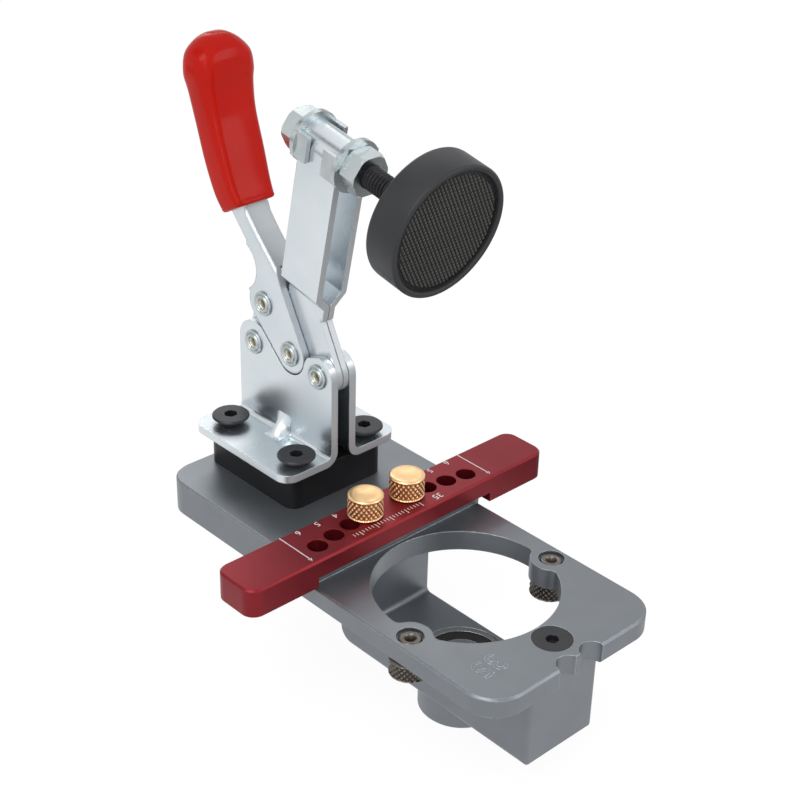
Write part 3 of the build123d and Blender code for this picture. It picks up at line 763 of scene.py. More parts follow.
BUSH_STEEL = KnurledFinish(
    "oiled_bush_steel",
    colour=(0.185, 0.165, 0.145),
    second=(0.140, 0.125, 0.110),
    worn_and_edge_light=(0.50, 0.46, 0.41),
    rough=(0.28, 0.38),
    edge_mm=0.12,
    wear_and_light=0.6,
    grain_depth_mm=0.010,
    drift_mm=2.0,
    smudge_mm=3.0,
    ring_mm=0.2,
    valley=(0.035, 0.030, 0.026),
    crest_mm=4.95,
    depth_mm=0.40,
    top_mm=-5.8,
)
BEARING_STEEL = TurnedFinish(
    "ground_bearing_steel",
    colour=(0.56, 0.57, 0.58),
    second=(0.50, 0.51, 0.52),
    worn_and_edge_light=(0.85, 0.86, 0.87),
    rough=(0.14, 0.24),
    edge_mm=0.15,
    wear_and_light=0.4,
    grain_depth_mm=0.003,
    drift_mm=6.0,
    smudge_mm=6.0,
    ring_mm=0.15,
)
SEAL_RUBBER = TurnedFinish(
    "black_seal_rubber",
    colour=(0.010, 0.010, 0.010),
    second=(0.015, 0.014, 0.013),
    worn_and_edge_light=(0.06, 0.06, 0.06),
    metallic=0.0,
    rough=(0.45, 0.6),
    edge_mm=0.1,
    wear_and_light=0.2,
    grain_depth_mm=0.02,
    ring_mm=0.5,
    specular=0.25,
)
PAD_BLACK = TurnedFinish(
    "satin_black_holder",
    colour=(0.026, 0.027, 0.031),
    second=(0.030, 0.031, 0.035),
    worn_and_edge_light=(0.10, 0.10, 0.11),
    metallic=0.0,
    rough=(0.40, 0.50),
    edge_mm=0.2,
    wear_and_light=0.25,
    grain_depth_mm=0.006,
    ring_mm=0.35,
    specular=0.3,
)
PAD_RUBBER = WaffleFinish(
    "waffle_rubber",
    colour=(0.007, 0.007, 0.007),
    second=(0.010, 0.009, 0.008),
    worn_and_edge_light=(0.085, 0.083, 0.080),
    metallic=0.0,
    rough=(0.40, 0.55),
    edge_mm=0.05,
    wear_and_light=0.2,
    grain_mm=0.15,
    grain_depth_mm=0.01,
    drift_mm=8.0,
    specular=0.3,
)
RED_DIP = Finish(
    "dipped_red_grip",
    colour=(0.465, 0.010, 0.0055),
    second=(0.51, 0.013, 0.007),
    worn_and_edge_light=(0.66, 0.04, 0.03),
    metallic=0.0,
    rough=(0.12, 0.17),
    edge_mm=0.3,
    wear_and_light=0.15,
    grain_mm=1.4,
    grain_depth_mm=0.012,
    drift_mm=14.0,
    specular=0.09,
)
WHITE_PRINT = Finish(
    "white_screen_print",
    colour=(0.80, 0.79, 0.79),
    second=(0.66, 0.62, 0.62),
    worn_and_edge_light=(0.60, 0.50, 0.50),
    metallic=0.0,
    rough=(0.5, 0.65),
    edge_mm=0.02,
    wear_and_light=0.2,
    grain_mm=0.12,
    grain_depth_mm=0.004,
    drift_mm=0.8,
)
ENGRAVED_LINE = Finish(
    "engraved_line",
    # The light colour and the bright edge colour paint a highlight along the engraved lines.
    colour=(0.36, 0.39, 0.42),
    second=(0.22, 0.24, 0.26),
    worn_and_edge_light=(0.6, 0.63, 0.66),
    metallic=0.9,
    rough=(0.22, 0.34),
    edge_mm=0.05,
    wear_and_light=0.2,
    drift_mm=1.0,
)


@dataclass
class Workshop:
    """What every sub-assembly needs: the frame's nodes, the shared effects and the made finishes.

    Attributes:
        nodes: The frame's node objects, by name.
        shelf: The shared effects.
        finishes: The materials made so far, by the finish's name.
    """

    nodes: dict[str, bpy.types.Object]
    shelf: EffectShelf = field(default_factory=EffectShelf)
    finishes: dict[str, bpy.types.Material] = field(default_factory=dict)

    def material(self, finish: Finish) -> bpy.types.Material:
        """Gives a finish's material, built on its first use.

        Args:
            finish: The finish.

        Returns:
            The material.
        """
        if finish.name not in self.finishes:
            self.finishes[finish.name] = finish.build(self.shelf)
        return self.finishes[finish.name]

    def dress(self, finish: Finish, *names: str) -> None:
        """Gives nodes of the frame a finish.

        Args:
            finish: The finish.
            names: The nodes' names.
        """
        for name in names:
            node = self.nodes[name]
            if not node.material_slots:
                node.data.materials.append(None)
            for slot in node.material_slots:
                slot.material = self.material(finish)
            LOG.info("dressed %s in %s", name, finish.name)

    def place(
        self, piece: bpy.types.Object, finish: Finish, body: Body, slot: Slot, *stands_for: str
    ) -> None:
        """Finishes a made piece and lets it ride on its body.

        Args:
            piece: The piece, in place.
            finish: Its finish.
            body: The body that it moves with.
            slot: The record's slot that its finish comes from; it is not used.
            stands_for: The nodes that it replaces.
        """
        piece.data.materials.append(self.material(finish))
        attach(piece, body.value)
        if stands_for:
            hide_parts(*stands_for)
        LOG.info("placed %s on %s with %d faces", piece.name, body.value, len(piece.data.polygons))


def link(name: str, data: bpy.types.ID, where: Matrix | None = None) -> bpy.types.Object:
    """Puts a mesh, a lamp or a camera into the scene.

    Args:
        name: The object's name.
        data: Its mesh, lamp or camera.
        where: Its place in the frame.

    Returns:
        The new object.
    """
    piece = bpy.data.objects.new(name, data)
    bpy.context.scene.collection.objects.link(piece)
    if where is not None:
        piece.matrix_world = where
    return piece


def made_of(
    work: bmesh.types.BMesh, name: str, sharp_degrees: float = 35.0, where: Matrix | None = None
) -> bpy.types.Object:
    """Turns a bmesh into a piece with smooth faces and sharp corners.

    Args:
        work: The bmesh, which is freed.
        name: The piece's name.
        sharp_degrees: The angle from which an edge stays sharp.
        where: The piece's place in the frame.

    Returns:
        The new object.
    """
    bmesh.ops.recalc_face_normals(work, faces=work.faces)
    mesh = bpy.data.meshes.new(name)
    work.to_mesh(mesh)
    work.free()
    mesh.shade_smooth()
    mesh.set_sharp_from_angle(angle=math.radians(sharp_degrees))
    return link(name, mesh, where)


def join_loops(work: bmesh.types.BMesh, low: Points, high: Points) -> None:
    """Joins two closed loops of points with faces. Either may be a single point.

    Args:
        work: The bmesh.
        low: The first loop.
        high: The second loop.
    """
    count = max(len(low), len(high))
    for i in range(count):
        j = (i + 1) % count
        if len(low) == 1:
            work.faces.new((low[0], high[j], high[i]))
        elif len(high) == 1:
            work.faces.new((low[i], low[j], high[0]))
        else:
            work.faces.new((low[i], low[j], high[j], high[i]))


def axis_frame(origin_mm: Sequence[float], axis: Vector) -> Matrix:
    """Gives the matrix of a turned piece.

    Args:
        origin_mm: Where the piece's origin lies, in millimetres.
        axis: The direction of its own Z axis.

    Returns:
        The matrix, with its X axis level where it can be.
    """
    z = axis.normalized()
    x = ACROSS if abs(z.x) < 0.9 else Vector((0, 1, 0))
    y = z.cross(x).normalized()
    turn = Matrix((y.cross(z), y, z)).transposed().to_4x4()
    return Matrix.Translation(Vector(origin_mm) * MM) @ turn


def ridge(phase: float) -> float:
    """Gives a triangle wave from 0 in its valley to 1 on its crest."""
    return 1 - abs(2 * (phase % 1.0) - 1)


@dataclass(frozen=True)
class Knurl:
    """A diamond knurl pressed into a turned face.

    Attributes:
        count: The ridges of each hand round the piece.
        pitch_mm: The distance along the axis over which the pattern repeats.
        depth_mm: The depth of the valleys.
        flat: How much steeper the flanks are than they need, which leaves a flat on each crest.
    """

    count: int
    pitch_mm: float
    depth_mm: float
    flat: float = 1.25

    def __call__(self, angle: float, height: float) -> float:
        """Gives how far the surface lies below the crests.

        Args:
            angle: The angle round the axis.
            height: The height along the axis, in millimetres.

        Returns:
            A negative offset in millimetres.
        """
        turn = self.count * angle / FULL_TURN
        lift = height / self.pitch_mm
        crest = min(ridge(turn + lift), ridge(turn - lift))
        return -self.depth_mm * (1 - min(1.0, self.flat * crest))


@dataclass(frozen=True)
class Thread:
    """A single-start thread cut into a rod.

    Attributes:
        pitch_mm: The pitch.
        depth_mm: The depth.
        flat: How much steeper the flanks are than they need, which leaves a flat on the crest.
    """

    pitch_mm: float = 1.0
    depth_mm: float = 0.5
    flat: float = 1.15

    def __call__(self, angle: float, height: float) -> float:
        """Gives how far the surface lies below the crest.

        Args:
            angle: The angle round the axis.
            height: The height along the axis, in millimetres.

        Returns:
            A negative offset in millimetres.
        """
        crest = ridge(height / self.pitch_mm - angle / FULL_TURN)
        return -self.depth_mm * (1 - min(1.0, self.flat * crest))


@dataclass
class TurnedForm:
    """A piece made on a lathe: rings of one radius each, joined from end to end.

    Attributes:
        name: The piece's name.
        rings: Radius, height and share of the relief for each ring, in millimetres.
        sides: The steps round the axis.
        relief: What is pressed or cut into it.
        closed: Whether the last ring joins the first, as round a bore.
    """

    name: str
    rings: list[Ring]
    sides: int
    relief: Relief | None = None
    closed: bool = False

    def build(self, where: Matrix, sharp_degrees: float = 50.0) -> bpy.types.Object:
        """Builds the piece.

        Args:
            where: Its place in the frame.
            sharp_degrees: The angle from which an edge stays sharp.

        Returns:
            The object.
        """
        work = bmesh.new()
        loops = [self._loop(work, *ring) for ring in self.rings]
        ends = loops[1:] + loops[:1] if self.closed else loops[1:]
        for low, high in zip(loops, ends):
            join_loops(work, low, high)
        return made_of(work, self.name, sharp_degrees, where)

    def _loop(self, work: bmesh.types.BMesh, radius: float, height: float, share: float) -> Points:
        """Makes one ring's points, or a single point on the axis.

        Args:
            work: The bmesh.
            radius: The ring's radius.
            height: Its height.
            share: Its share of the relief.

        Returns:
            The points in order.
        """
        if radius < TINY:
            return [work.verts.new((0, 0, height * MM))]
        points = []
        for i in range(self.sides):
            angle = FULL_TURN * i / self.sides
            r = radius + (share * self.relief(angle, height) if self.relief and share else 0.0)
            points.append(work.verts.new((r * MM * math.cos(angle), r * MM * math.sin(angle), height * MM)))
        return points


def plain(profile: Sequence[Corner]) -> list[Ring]:
    """Makes rings with no relief from a profile of radius and height."""
    return [(radius, height, 0.0) for radius, height in profile]


def rounded(profile: Sequence[Corner], radius: float, steps: int = 4, most: float = 0.45) -> list[Ring]:
    """Rounds the inner corners of a lathe profile.

    Args:
        profile: Radius and height of each corner, in millimetres.
        radius: The rounding radius.
        steps: The points on each rounding, less one.
        most: The share of a side that a rounding may use.

    Returns:
        The rings, with no relief.
    """
    out = [profile[0]]
    for before, corner, after in zip(profile, profile[1:], profile[2:]):
        middle = Vector(corner)
        sides = (Vector(before) - middle, Vector(after) - middle)
        cut = min(radius, *(side.length * most for side in sides))
        start, end = (middle + side.normalized() * cut for side in sides)
        for i in range(steps + 1):
            t = i / steps
            out.append(tuple(start * (1 - t) ** 2 + middle * 2 * t * (1 - t) + end * t ** 2))
    return plain(out + [profile[-1]])


def banded(radius: float, low: float, high: float, step: float, fade_mm: float = 0.3) -> list[Ring]:
    """Gives the close rings that carry a knurl or a thread, with its relief fading in at both ends.

    Args:
        radius: The crest radius.
        low: The height where the band starts.
        high: The height where it ends.
        step: The distance between rings.
        fade_mm: The length over which the relief fades in.

    Returns:
        The rings.
    """
    count = max(2, round((high - low) / step))
    fade = max(1, round(fade_mm / step))
    return [
        (radius, low + (high - low) * i / count, min(1.0, i / fade, (count - i) / fade))
        for i in range(count + 1)
    ]


class LineKind(Enum):
    """How a written number is made: filled, or as the tube along its outline."""

    FILLED = "BOTH"
    OUTLINE = "NONE"


@dataclass(frozen=True)
class Mark:
    """A plain number written on a face that looks up.

    Attributes:
        text: The number.
        x: Its middle, in millimetres.
        y: Its middle, in millimetres.
        size: The font size in millimetres.
        kind: Filled or outlined.
        thick: The print's height, or the outline tube's radius.
        turn: The turn about Z in degrees.
    """

    text: str
    x: float
    y: float
    size: float
    kind: LineKind = LineKind.FILLED
    thick: float = 0.02
    turn: float = 180.0

    def build(self, name: str, z: float) -> bpy.types.Object:
        """Builds the number as a mesh.

        Args:
            name: The piece's name.
            z: The height of the face, in millimetres.

        Returns:
            The object.
        """
        line = bpy.data.curves.new(name, "FONT")
        line.body = self.text
        line.size = self.size * MM
        line.align_x = "CENTER"
        line.align_y = "CENTER"
        line.resolution_u = 6
        line.fill_mode = self.kind.value
        if self.kind is LineKind.FILLED:
            line.extrude = self.thick * MM
        else:
            line.bevel_depth = self.thick * MM
            line.bevel_resolution = 2
        holder = link(name + "_line", line)
        bpy.context.view_layer.update()
        mesh = bpy.data.meshes.new_from_object(holder.evaluated_get(bpy.context.evaluated_depsgraph_get()))
        bpy.data.objects.remove(holder)
        bpy.data.curves.remove(line)
        mesh.materials.clear()
        spot = Matrix.Translation(Vector((self.x, self.y, z)) * MM)
        return link(name, mesh, spot @ Matrix.Rotation(math.radians(self.turn), 4, "Z"))


def strokes(name: str, shapes: Sequence[Sequence[Corner]], z: float, thick: float) -> bpy.types.Object:
    """Builds flat printed shapes as one piece.

    Args:
        name: The piece's name.
        shapes: The corners of each shape, in millimetres.
        z: The height of the face.
        thick: The print's height.

    Returns:
        The object.
    """
    work = bmesh.new()
    for corners in shapes:
        low, high = (
            [work.verts.new((x * MM, y * MM, level * MM)) for x, y in corners]
            for level in (z - thick, z + thick)
        )
        work.faces.new(high)
        work.faces.new(low[::-1])
        join_loops(work, low, high)
    return made_of(work, name)


def bar(x: float, half: float, y0: float, y1: float) -> list[Corner]:
    """Gives the corners of an upright bar."""
    return [(x - half, y0), (x + half, y0), (x + half, y1), (x - half, y1)]


@dataclass
class DrillPlate:
    """The grey plate, the bracket below it and the two guide bushes.

    Attributes:
        thick: The plate's thickness at its front.
        bush_x: The bushes' distance from the middle.
        bush_y: The bushes' place along Y.
        bore: The bushes' bore radius.
        neck: The bushes' neck radius.
        collar: The knurled collar's radius.
        collar_h: The knurled collar's height.
        knurl: The collar's knurl.
        band: How far the knurl keeps from the collar's foot and from the plate.
        sink: How far the bush lies below the plate's top.
        foot_flat: Where the foot's flat starts outside the bore, and ends inside the crest.
        seat_in: How far inside the crest the collar's top ends.
        seat_gap: The gap between the collar and the plate.
        top_in: Where the flat at the top starts outside the bore.
        chamfer: The chamfer at the bore's ends and the neck's rim.
        mark: The number engraved near the front edge.
        mark_z: The height of the middle of its line.
    """

    thick: float = 5.5
    bush_x: float = 24.0
    bush_y: float = -6.0
    bore: float = 1.25
    neck: float = 2.75
    collar: float = BUSH_STEEL.crest_mm
    collar_h: float = 4.8
    knurl: Knurl = Knurl(22, 1.5, BUSH_STEEL.depth_mm)
    band: tuple[float, float] = (0.45, 0.35)
    sink: float = 0.4
    foot_flat: tuple[float, float] = (0.25, 0.6)
    seat_in: float = 0.45
    seat_gap: float = 0.01
    top_in: float = 0.35
    chamfer: float = 0.3
    mark: Mark = Mark("35", -18.3, -25.3, 8.4, LineKind.OUTLINE, 0.17)
    mark_z: float = -0.09

    def build(self, shop: Workshop) -> None:
        """Dresses the plate and its bracket, and makes the bushes and the engraved number.

        Args:
            shop: The workshop.
        """
        shop.dress(GREY_ANODISED, "base_plate", "guide_bracket")
        shop.dress(BLACK_OXIDE, "bracket_screw_front", "bracket_screw_rear")
        for side, body in ((Side.LEFT, Body.BUSH_LEFT), (Side.RIGHT, Body.BUSH_RIGHT)):
            name = side.name.lower()
            bush = self.bush(f"guide_bush_turned_{name}", side.value * self.bush_x)
            shop.place(bush, BUSH_STEEL, body, Slot.BUSH, f"guide_bush_{name}")
        shop.place(self.mark.build("engraved_number", self.mark_z), ENGRAVED_LINE, Body.BASE, Slot.GREY)

    def bush(self, name: str, x: float) -> bpy.types.Object:
        """Makes one guide bush: chamfered rim, neck, and the knurled collar below the plate.

        Args:
            name: The piece's name.
            x: The bush's place across the plate.

        Returns:
            The object.
        """
        top = -self.sink
        seat = -self.thick - self.seat_gap
        foot = -self.thick - self.collar_h
        lip = self.chamfer
        rings = [
            *plain(((self.bore + self.foot_flat[0], foot), (self.collar - self.foot_flat[1], foot))),
            *banded(self.collar, foot + self.band[0], -self.thick - self.band[1], BAND_STEP),
            *plain(((self.collar - self.seat_in, seat), (self.neck, seat))),
            *plain(((self.neck, top - lip), (self.neck - lip, top))),
            *plain(((self.bore + self.top_in, top), (self.bore, top - lip), (self.bore, foot + lip))),
        ]
        form = TurnedForm(name, rings, KNURLED_SIDES, self.knurl, closed=True)
        return form.build(axis_frame((x, self.bush_y, 0), UP))


@dataclass
class GuideBearing:
    """The sealed ball bearing that follows a template's edge.

    Attributes:
        steel: The nodes of ground steel.
        seals: The nodes of rubber.
    """

    steel: tuple[str, ...] = ("bearing_outer_ring", "bearing_inner_ring", "bearing_balls", "bearing_cage")
    seals: tuple[str, ...] = ("bearing_seal_upper", "bearing_seal_lower")

    def build(self, shop: Workshop) -> None:
        """Dresses the rings, balls, cage and seals."""
        shop.dress(BEARING_STEEL, *self.steel)
        shop.dress(SEAL_RUBBER, *self.seals)


@dataclass
class StopBar:
    """The red stop bar, its white marks and the two brass thumb screws.

    Attributes:
        top: The height of its top face.
        hole_x: The thumb screws' distance from the middle.
        hole_y: The thumb screws' place along Y.
        head: The thumb screw's crest radius.
        head_h: The thumb screw head's height.
        head_foot: The head's lower corners: inwards from the crest, and up from the bar.
        knurl: The head's knurl.
        band: How far the knurl keeps from the bar and from the head's top.
        crown: The corners of the head's turned top: inwards from the crest, and down from the top.
        shank: The shank's radius.
        shank_low: The height of the shank's end.
        shank_tip: The chamfer at its end.
        digits: The numbers beside the setting holes.
        cup_size: The number that names the cup.
        print_h: The height of the print.
        line_x: The distance of the cross lines from the middle.
        line_y: The two ends of a cross line.
        line_half: Half a cross line's width.
        arrow: The arrow at its front end: half its width, its length, and where in it the line starts.
        ticks: The number of ticks.
        tick_x: The first tick's place. The next are 1 mm apart.
        tick_y: Where the ticks end.
        tick_half: Half a tick's width.
        tick_long: The length of every fifth tick, and of the others.
    """

    top: float = 9.2
    hole_x: float = 7.0
    hole_y: float = 28.75
    head: float = BRASS.crest_mm
    head_h: float = 6.0
    head_foot: tuple[Corner, ...] = ((0.5, 0.0), (0.35, 0.15))
    knurl: Knurl = Knurl(21, 1.7, BRASS.depth_mm)
    band: tuple[float, float] = (0.3, 0.45)
    crown: tuple[Corner, ...] = ((0.1, 0.3), (0.4, 0.05), (0.6, 0.0), (1.5, 0.02), (3.35, 0.1), (4.55, 0.12))
    shank: float = 2.5
    shank_low: float = -3.6
    shank_tip: float = 0.4
    digits: tuple[Mark, ...] = (
        Mark("4", -13.3, 33.0, 2.7),
        Mark("5", -19.1, 33.0, 2.7),
        Mark("6", -25.1, 33.0, 2.7),
        Mark("5", 19.1, 33.0, 2.7),
        Mark("6", 25.1, 33.0, 2.7),
    )
    cup_size: Mark = Mark("35", 12.2, 23.0, 2.9)
    print_h: float = 0.02
    line_x: float = 30.0
    line_y: tuple[float, float] = (21.7, 34.2)
    line_half: float = 0.14
    arrow: tuple[float, float, float] = (0.55, 1.1, 0.6)
    ticks: int = 23
    tick_x: float = 6.5
    tick_y: float = 23.8
    tick_half: float = 0.1
    tick_long: tuple[float, float] = (1.9, 1.1)

    def build(self, shop: Workshop) -> None:
        """Dresses the bar, and makes its marks and thumb screws.

        Args:
            shop: The workshop.
        """
        shop.dress(RED_ANODISED, "fence_block")
        prints = []
        for i, digit in enumerate(self.digits):
            side = Side.LEFT if digit.x < 0 else Side.RIGHT
            prints.append(digit.build(f"printed_{digit.text}_{side.name.lower()}_{i}", self.top))
        prints += [self.cup_size.build("printed_cup_size", self.top), self.scale()]
        for piece in prints:
            shop.place(piece, WHITE_PRINT, Body.BASE, Slot.RED)
        for side, body in ((Side.LEFT, Body.THUMB_LEFT), (Side.RIGHT, Body.THUMB_RIGHT)):
            name = side.name.lower()
            screw = self.thumb_screw(f"thumb_screw_turned_{name}", side.value * self.hole_x)
            shop.place(screw, BRASS, body, Slot.BRASS, f"thumb_screw_{name}")

    def scale(self) -> bpy.types.Object:
        """Makes the two arrowed cross lines and the plain tick scale.

        Returns:
            The printed piece.
        """
        front, rear = self.line_y
        wide, long, inside = self.arrow
        shapes = []
        for side in Side:
            x = side.value * self.line_x
            shapes.append(bar(x, self.line_half, front + inside, rear))
            shapes.append([(x, front), (x + wide, front + long), (x - wide, front + long)])
        for i in range(self.ticks):
            length = self.tick_long[0 if i % 5 == 0 else 1]
            shapes.append(bar(self.tick_x - i, self.tick_half, self.tick_y - length, self.tick_y))
        return strokes("printed_lines", shapes, self.top, self.print_h)

    def thumb_screw(self, name: str, x: float) -> bpy.types.Object:
        """Makes one thumb screw: knurled head, turned top and plain shank.

        Args:
            name: The piece's name.
            x: The screw's place across the bar.

        Returns:
            The object.
        """
        low, tip = self.shank_low, self.shank_tip
        high = self.top + self.head_h
        shank = ((0.0, low), (self.shank - tip, low), (self.shank, low + tip), (self.shank, self.top))
        rings = [
            *plain(shank),
            *plain([(self.head - inwards, self.top + up) for inwards, up in self.head_foot]),
            *banded(self.head, self.top + self.band[0], high - self.band[1], BAND_STEP),
            *plain([(self.head - inwards, high - down) for inwards, down in self.crown]),
        ]
        form = TurnedForm(name, rings, KNURLED_SIDES, self.knurl)
        return form.build(axis_frame((x, self.hole_y, 0), UP))


@dataclass
class ToggleClamp:
    """The zinc-plated toggle clamp: stand, arm, link, handle, rivets and the dipped grip.

    Attributes:
        rivets: Each rivet's body, place in the side view and half the width under its heads.
        head: Half a rivet's profile: radius, and height over that width.
        head_sides: The steps round a rivet.
        sleeve: Half the profile of the thin sleeve in its bore.
        sleeve_sides: The steps round the sleeve.
        rib_corner: The wall's X and the foot's Z where the pressed rib stands.
        rib_bend: The bend's inner radius.
        rib_high: How far the rib climbs the wall.
        rib_out: How far it runs over the foot.
        rib_half: Half its width.
        rib_y: Its middle along Y.
        rib_root: How far its root lies inside the steel.
        rib_inset: How far its rim lies inside the steel.
        rib_flat: The share of its mesh rows that lie on the wall, and on the foot.
        rib_steps: The steps each way in its mesh.
        grip_foot: The pivot that the grip's rows are counted from.
        grip_rows: Y, Z, lean, depth, width and corner radius of the grip's sections.
        grip_steps: The sections from one row to the next.
        grip_lip: The rolled lip's sections: which section it starts from, its growth, its shift along.
        corner_steps: The steps round each of a section's corners.
        corner_least: The smallest radius of such a corner.
        corner_most: The share of a section's half side that the radius may use.
    """

    rivets: dict[str, tuple[Body, float, float, float]] = field(
        default_factory=lambda: {
            "base_rear": (Body.BASE, 75.7, 37.65, 4.0),
            "base_front": (Body.BASE, 50.5, 37.6, 4.0),
            "handle_link": (Body.HANDLE, 71.65, 50.0, 3.9),
            "handle_arm": (Body.HANDLE, 61.3, 39.75, 3.9),
        }
    )
    head: tuple[Corner, ...] = (
        (2.4, 0.0),
        (3.1, 0.0),
        (3.25, 0.12),
        (3.25, 0.42),
        (3.1, 0.62),
        (2.85, 0.70),
        (2.66, 0.62),
        (2.52, 0.42),
        (2.38, 0.42),
        (2.26, 0.66),
        (2.05, 0.84),
        (1.80, 0.88),
        (1.56, 0.76),
        (1.42, 0.45),
        (1.40, 0.0),
    )
    head_sides: int = 56
    sleeve: tuple[Corner, ...] = ((1.42, 0.3), (1.34, 0.42), (1.18, 0.2), (1.12, -0.6))
    sleeve_sides: int = 40
    rib_corner: tuple[float, float] = (4.0, 16.1)
    rib_bend: float = 1.6
    rib_high: float = 5.6
    rib_out: float = 4.7
    rib_half: float = 2.9
    rib_y: float = 63.9
    rib_root: float = 0.5
    rib_inset: float = 0.03
    rib_flat: float = 0.35
    rib_steps: int = 20
    grip_foot: tuple[float, float] = (71.65, 50.0)
    grip_rows: tuple[tuple[float, ...], ...] = (
        (10.0, 22.9, 60.0, 8.4, 12.4, 1.8),
        (12.5, 27.0, 62.0, 8.6, 13.6, 2.0),
        (15.4, 34.5, 67.0, 9.0, 14.4, 2.2),
        (18.6, 44.1, 71.0, 9.0, 15.0, 2.6),
        (20.2, 51.1, 78.0, 9.6, 16.4, 3.2),
        (20.9, 55.1, 84.0, 10.8, 17.8, 4.0),
        (21.2, 59.4, 90.0, 10.4, 16.8, 4.2),
        (21.4, 62.2, 92.0, 8.2, 12.4, 3.8),
        (21.5, 63.8, 92.0, 5.0, 7.2, 2.3),
        (21.5, 64.3, 92.0, 2.4, 3.6, 1.1),
    )
    grip_steps: int = 7
    grip_lip: tuple[tuple[int, float, float], ...] = (
        (0, -1.5, -0.25),
        (0, -0.55, -0.25),
        (0, -0.12, -0.05),
        (0, 0.06, 0.35),
        (1, 0.08, 0.0),
    )
    corner_steps: int = 6
    corner_least: float = 0.2
    corner_most: float = 0.98

    def build(self, shop: Workshop) -> None:
        """Dresses the clamp's steel, and makes the rivets, their bores, the pressed ribs and the grip.

        Args:
            shop: The workshop.
        """
        shop.dress(ZINC_STAND, "clamp_base_left", "clamp_base_right", "clamp_arm")
        shop.dress(ZINC_HANDLE, "handle_channel")
        shop.dress(ZINC_PLATE, "toggle_link")
        shop.dress(BLACK_OXIDE, *(f"clamp_screw_{i}" for i in range(1, 5)))
        shop.dress(BLACK_BLOCK, "spacer_block")
        for name, (body, *place) in self.rivets.items():
            rivet = self.hollow(f"rivet_turned_{name}", self.head, self.head_sides, *place)
            shop.place(rivet, ZINC_FASTENER, body, Slot.ZINC, f"rivet_{name}")
            bore = self.hollow(f"rivet_bore_{name}", self.sleeve, self.sleeve_sides, *place)
            shop.place(bore, RIVET_LINER, body, Slot.ZINC)
        for side in Side:
            shop.place(self.pressed_rib(side), ZINC_DIMPLE, Body.BASE, Slot.ZINC)
        shop.place(self.grip("grip_dipped"), RED_DIP, Body.HANDLE, Slot.RED_GRIP, "handle_grip")

    @staticmethod
    def hollow(
        name: str, half: Sequence[Corner], sides: int, y: float, z: float, reach: float
    ) -> bpy.types.Object:
        """Makes a hollow turned piece across the clamp, the same at both its ends.

        Args:
            name: The piece's name.
            half: Radius, and height over its reach, along half its profile.
            sides: The steps round its axis.
            y: Its place in the side view.
            z: Its height.
            reach: Half its width before its ends.

        Returns:
            The object.
        """
        rings = [(radius, reach + over, 0.0) for radius, over in half]
        rings += [(radius, -height, 0.0) for radius, height, _ in reversed(rings)]
        return TurnedForm(name, rings, sides, closed=True).build(axis_frame((0, y, z), ACROSS))

    def pressed_rib(self, side: Side) -> bpy.types.Object:
        """Makes the soft dimple that is pressed into a foot's bend to stiffen it.

        Args:
            side: The foot's side.

        Returns:
            The object.
        """
        work = bmesh.new()
        face = self._rib_sheet(work, side, 0.0)
        root = self._rib_sheet(work, side, self.rib_root)
        last = self.rib_steps
        for sheet, step in ((face, 1), (root, -1)):
            for low, high in zip(sheet, sheet[1:]):
                for j in range(last):
                    work.faces.new((low[j], low[j + 1], high[j + 1], high[j])[::step])
        rim = [(0, j) for j in range(last)] + [(i, last) for i in range(last)]
        rim += [(last - i, last - j) for i, j in rim]
        join_loops(work, [root[i][j] for i, j in rim], [face[i][j] for i, j in rim])
        return made_of(work, f"pressed_rib_{side.name.lower()}", sharp_degrees=70.0)

    def _rib_sheet(self, work: bmesh.types.BMesh, side: Side, sink: float) -> list[Points]:
        """Lays out the rib's points: its crest where sink is 0, and its root inside the steel.

        Args:
            work: The bmesh.
            side: The foot's side.
            sink: How far the root lies inside the steel, or 0 for the crest.

        Returns:
            The points by row.
        """
        wall, foot = self.rib_corner
        inside = sink + self.rib_inset
        sheet = []
        for i in range(self.rib_steps + 1):
            t = i / self.rib_steps
            base = self._rib_foot(t)
            crest = (wall + self.rib_out * t, foot + self.rib_high * (1 - t))
            row = []
            for j in range(self.rib_steps + 1):
                across = 2 * j / self.rib_steps - 1
                lift = 0.0 if sink else 1 - across * across
                x, z = (low + (high - low) * lift - inside for low, high in zip(base, crest))
                y = self.rib_y + across * self.rib_half
                row.append(work.verts.new((side.value * x * MM, y * MM, z * MM)))
            sheet.append(row)
        return sheet

    def _rib_foot(self, t: float) -> tuple[float, float]:
        """Follows the steel's inner face down the wall, round the bend and out over the foot.

        Args:
            t: How far along it, from 0 to 1.

        Returns:
            The place in the front view.
        """
        wall, foot = self.rib_corner
        bend = self.rib_bend
        flat = self.rib_flat
        if t < flat:
            return wall, foot + self.rib_high * (1 - t / flat) + bend * t / flat
        if t < 1 - flat:
            turn = math.pi / 2 * (t - flat) / (1 - 2 * flat)
            return wall + bend * (1 - math.cos(turn)), foot + bend * (1 - math.sin(turn))
        return wall + bend + (self.rib_out - bend) * (t - 1 + flat) / flat, foot

    def grip(self, name: str) -> bpy.types.Object:
        """Makes the dipped grip, with a rolled lip where the dip ends.

        Args:
            name: The piece's name.

        Returns:
            The object.
        """
        rows = self._smooth_rows()
        work = bmesh.new()
        loops = [self._section(work, rows[i], grow, along) for i, grow, along in self.grip_lip]
        loops += [self._section(work, row, 0.0, 0.0) for row in rows[2:]]
        for low, high in zip(loops, loops[1:]):
            join_loops(work, low, high)
        work.faces.new(loops[0][::-1])
        work.faces.new(loops[-1])
        return made_of(work, name, sharp_degrees=60.0)

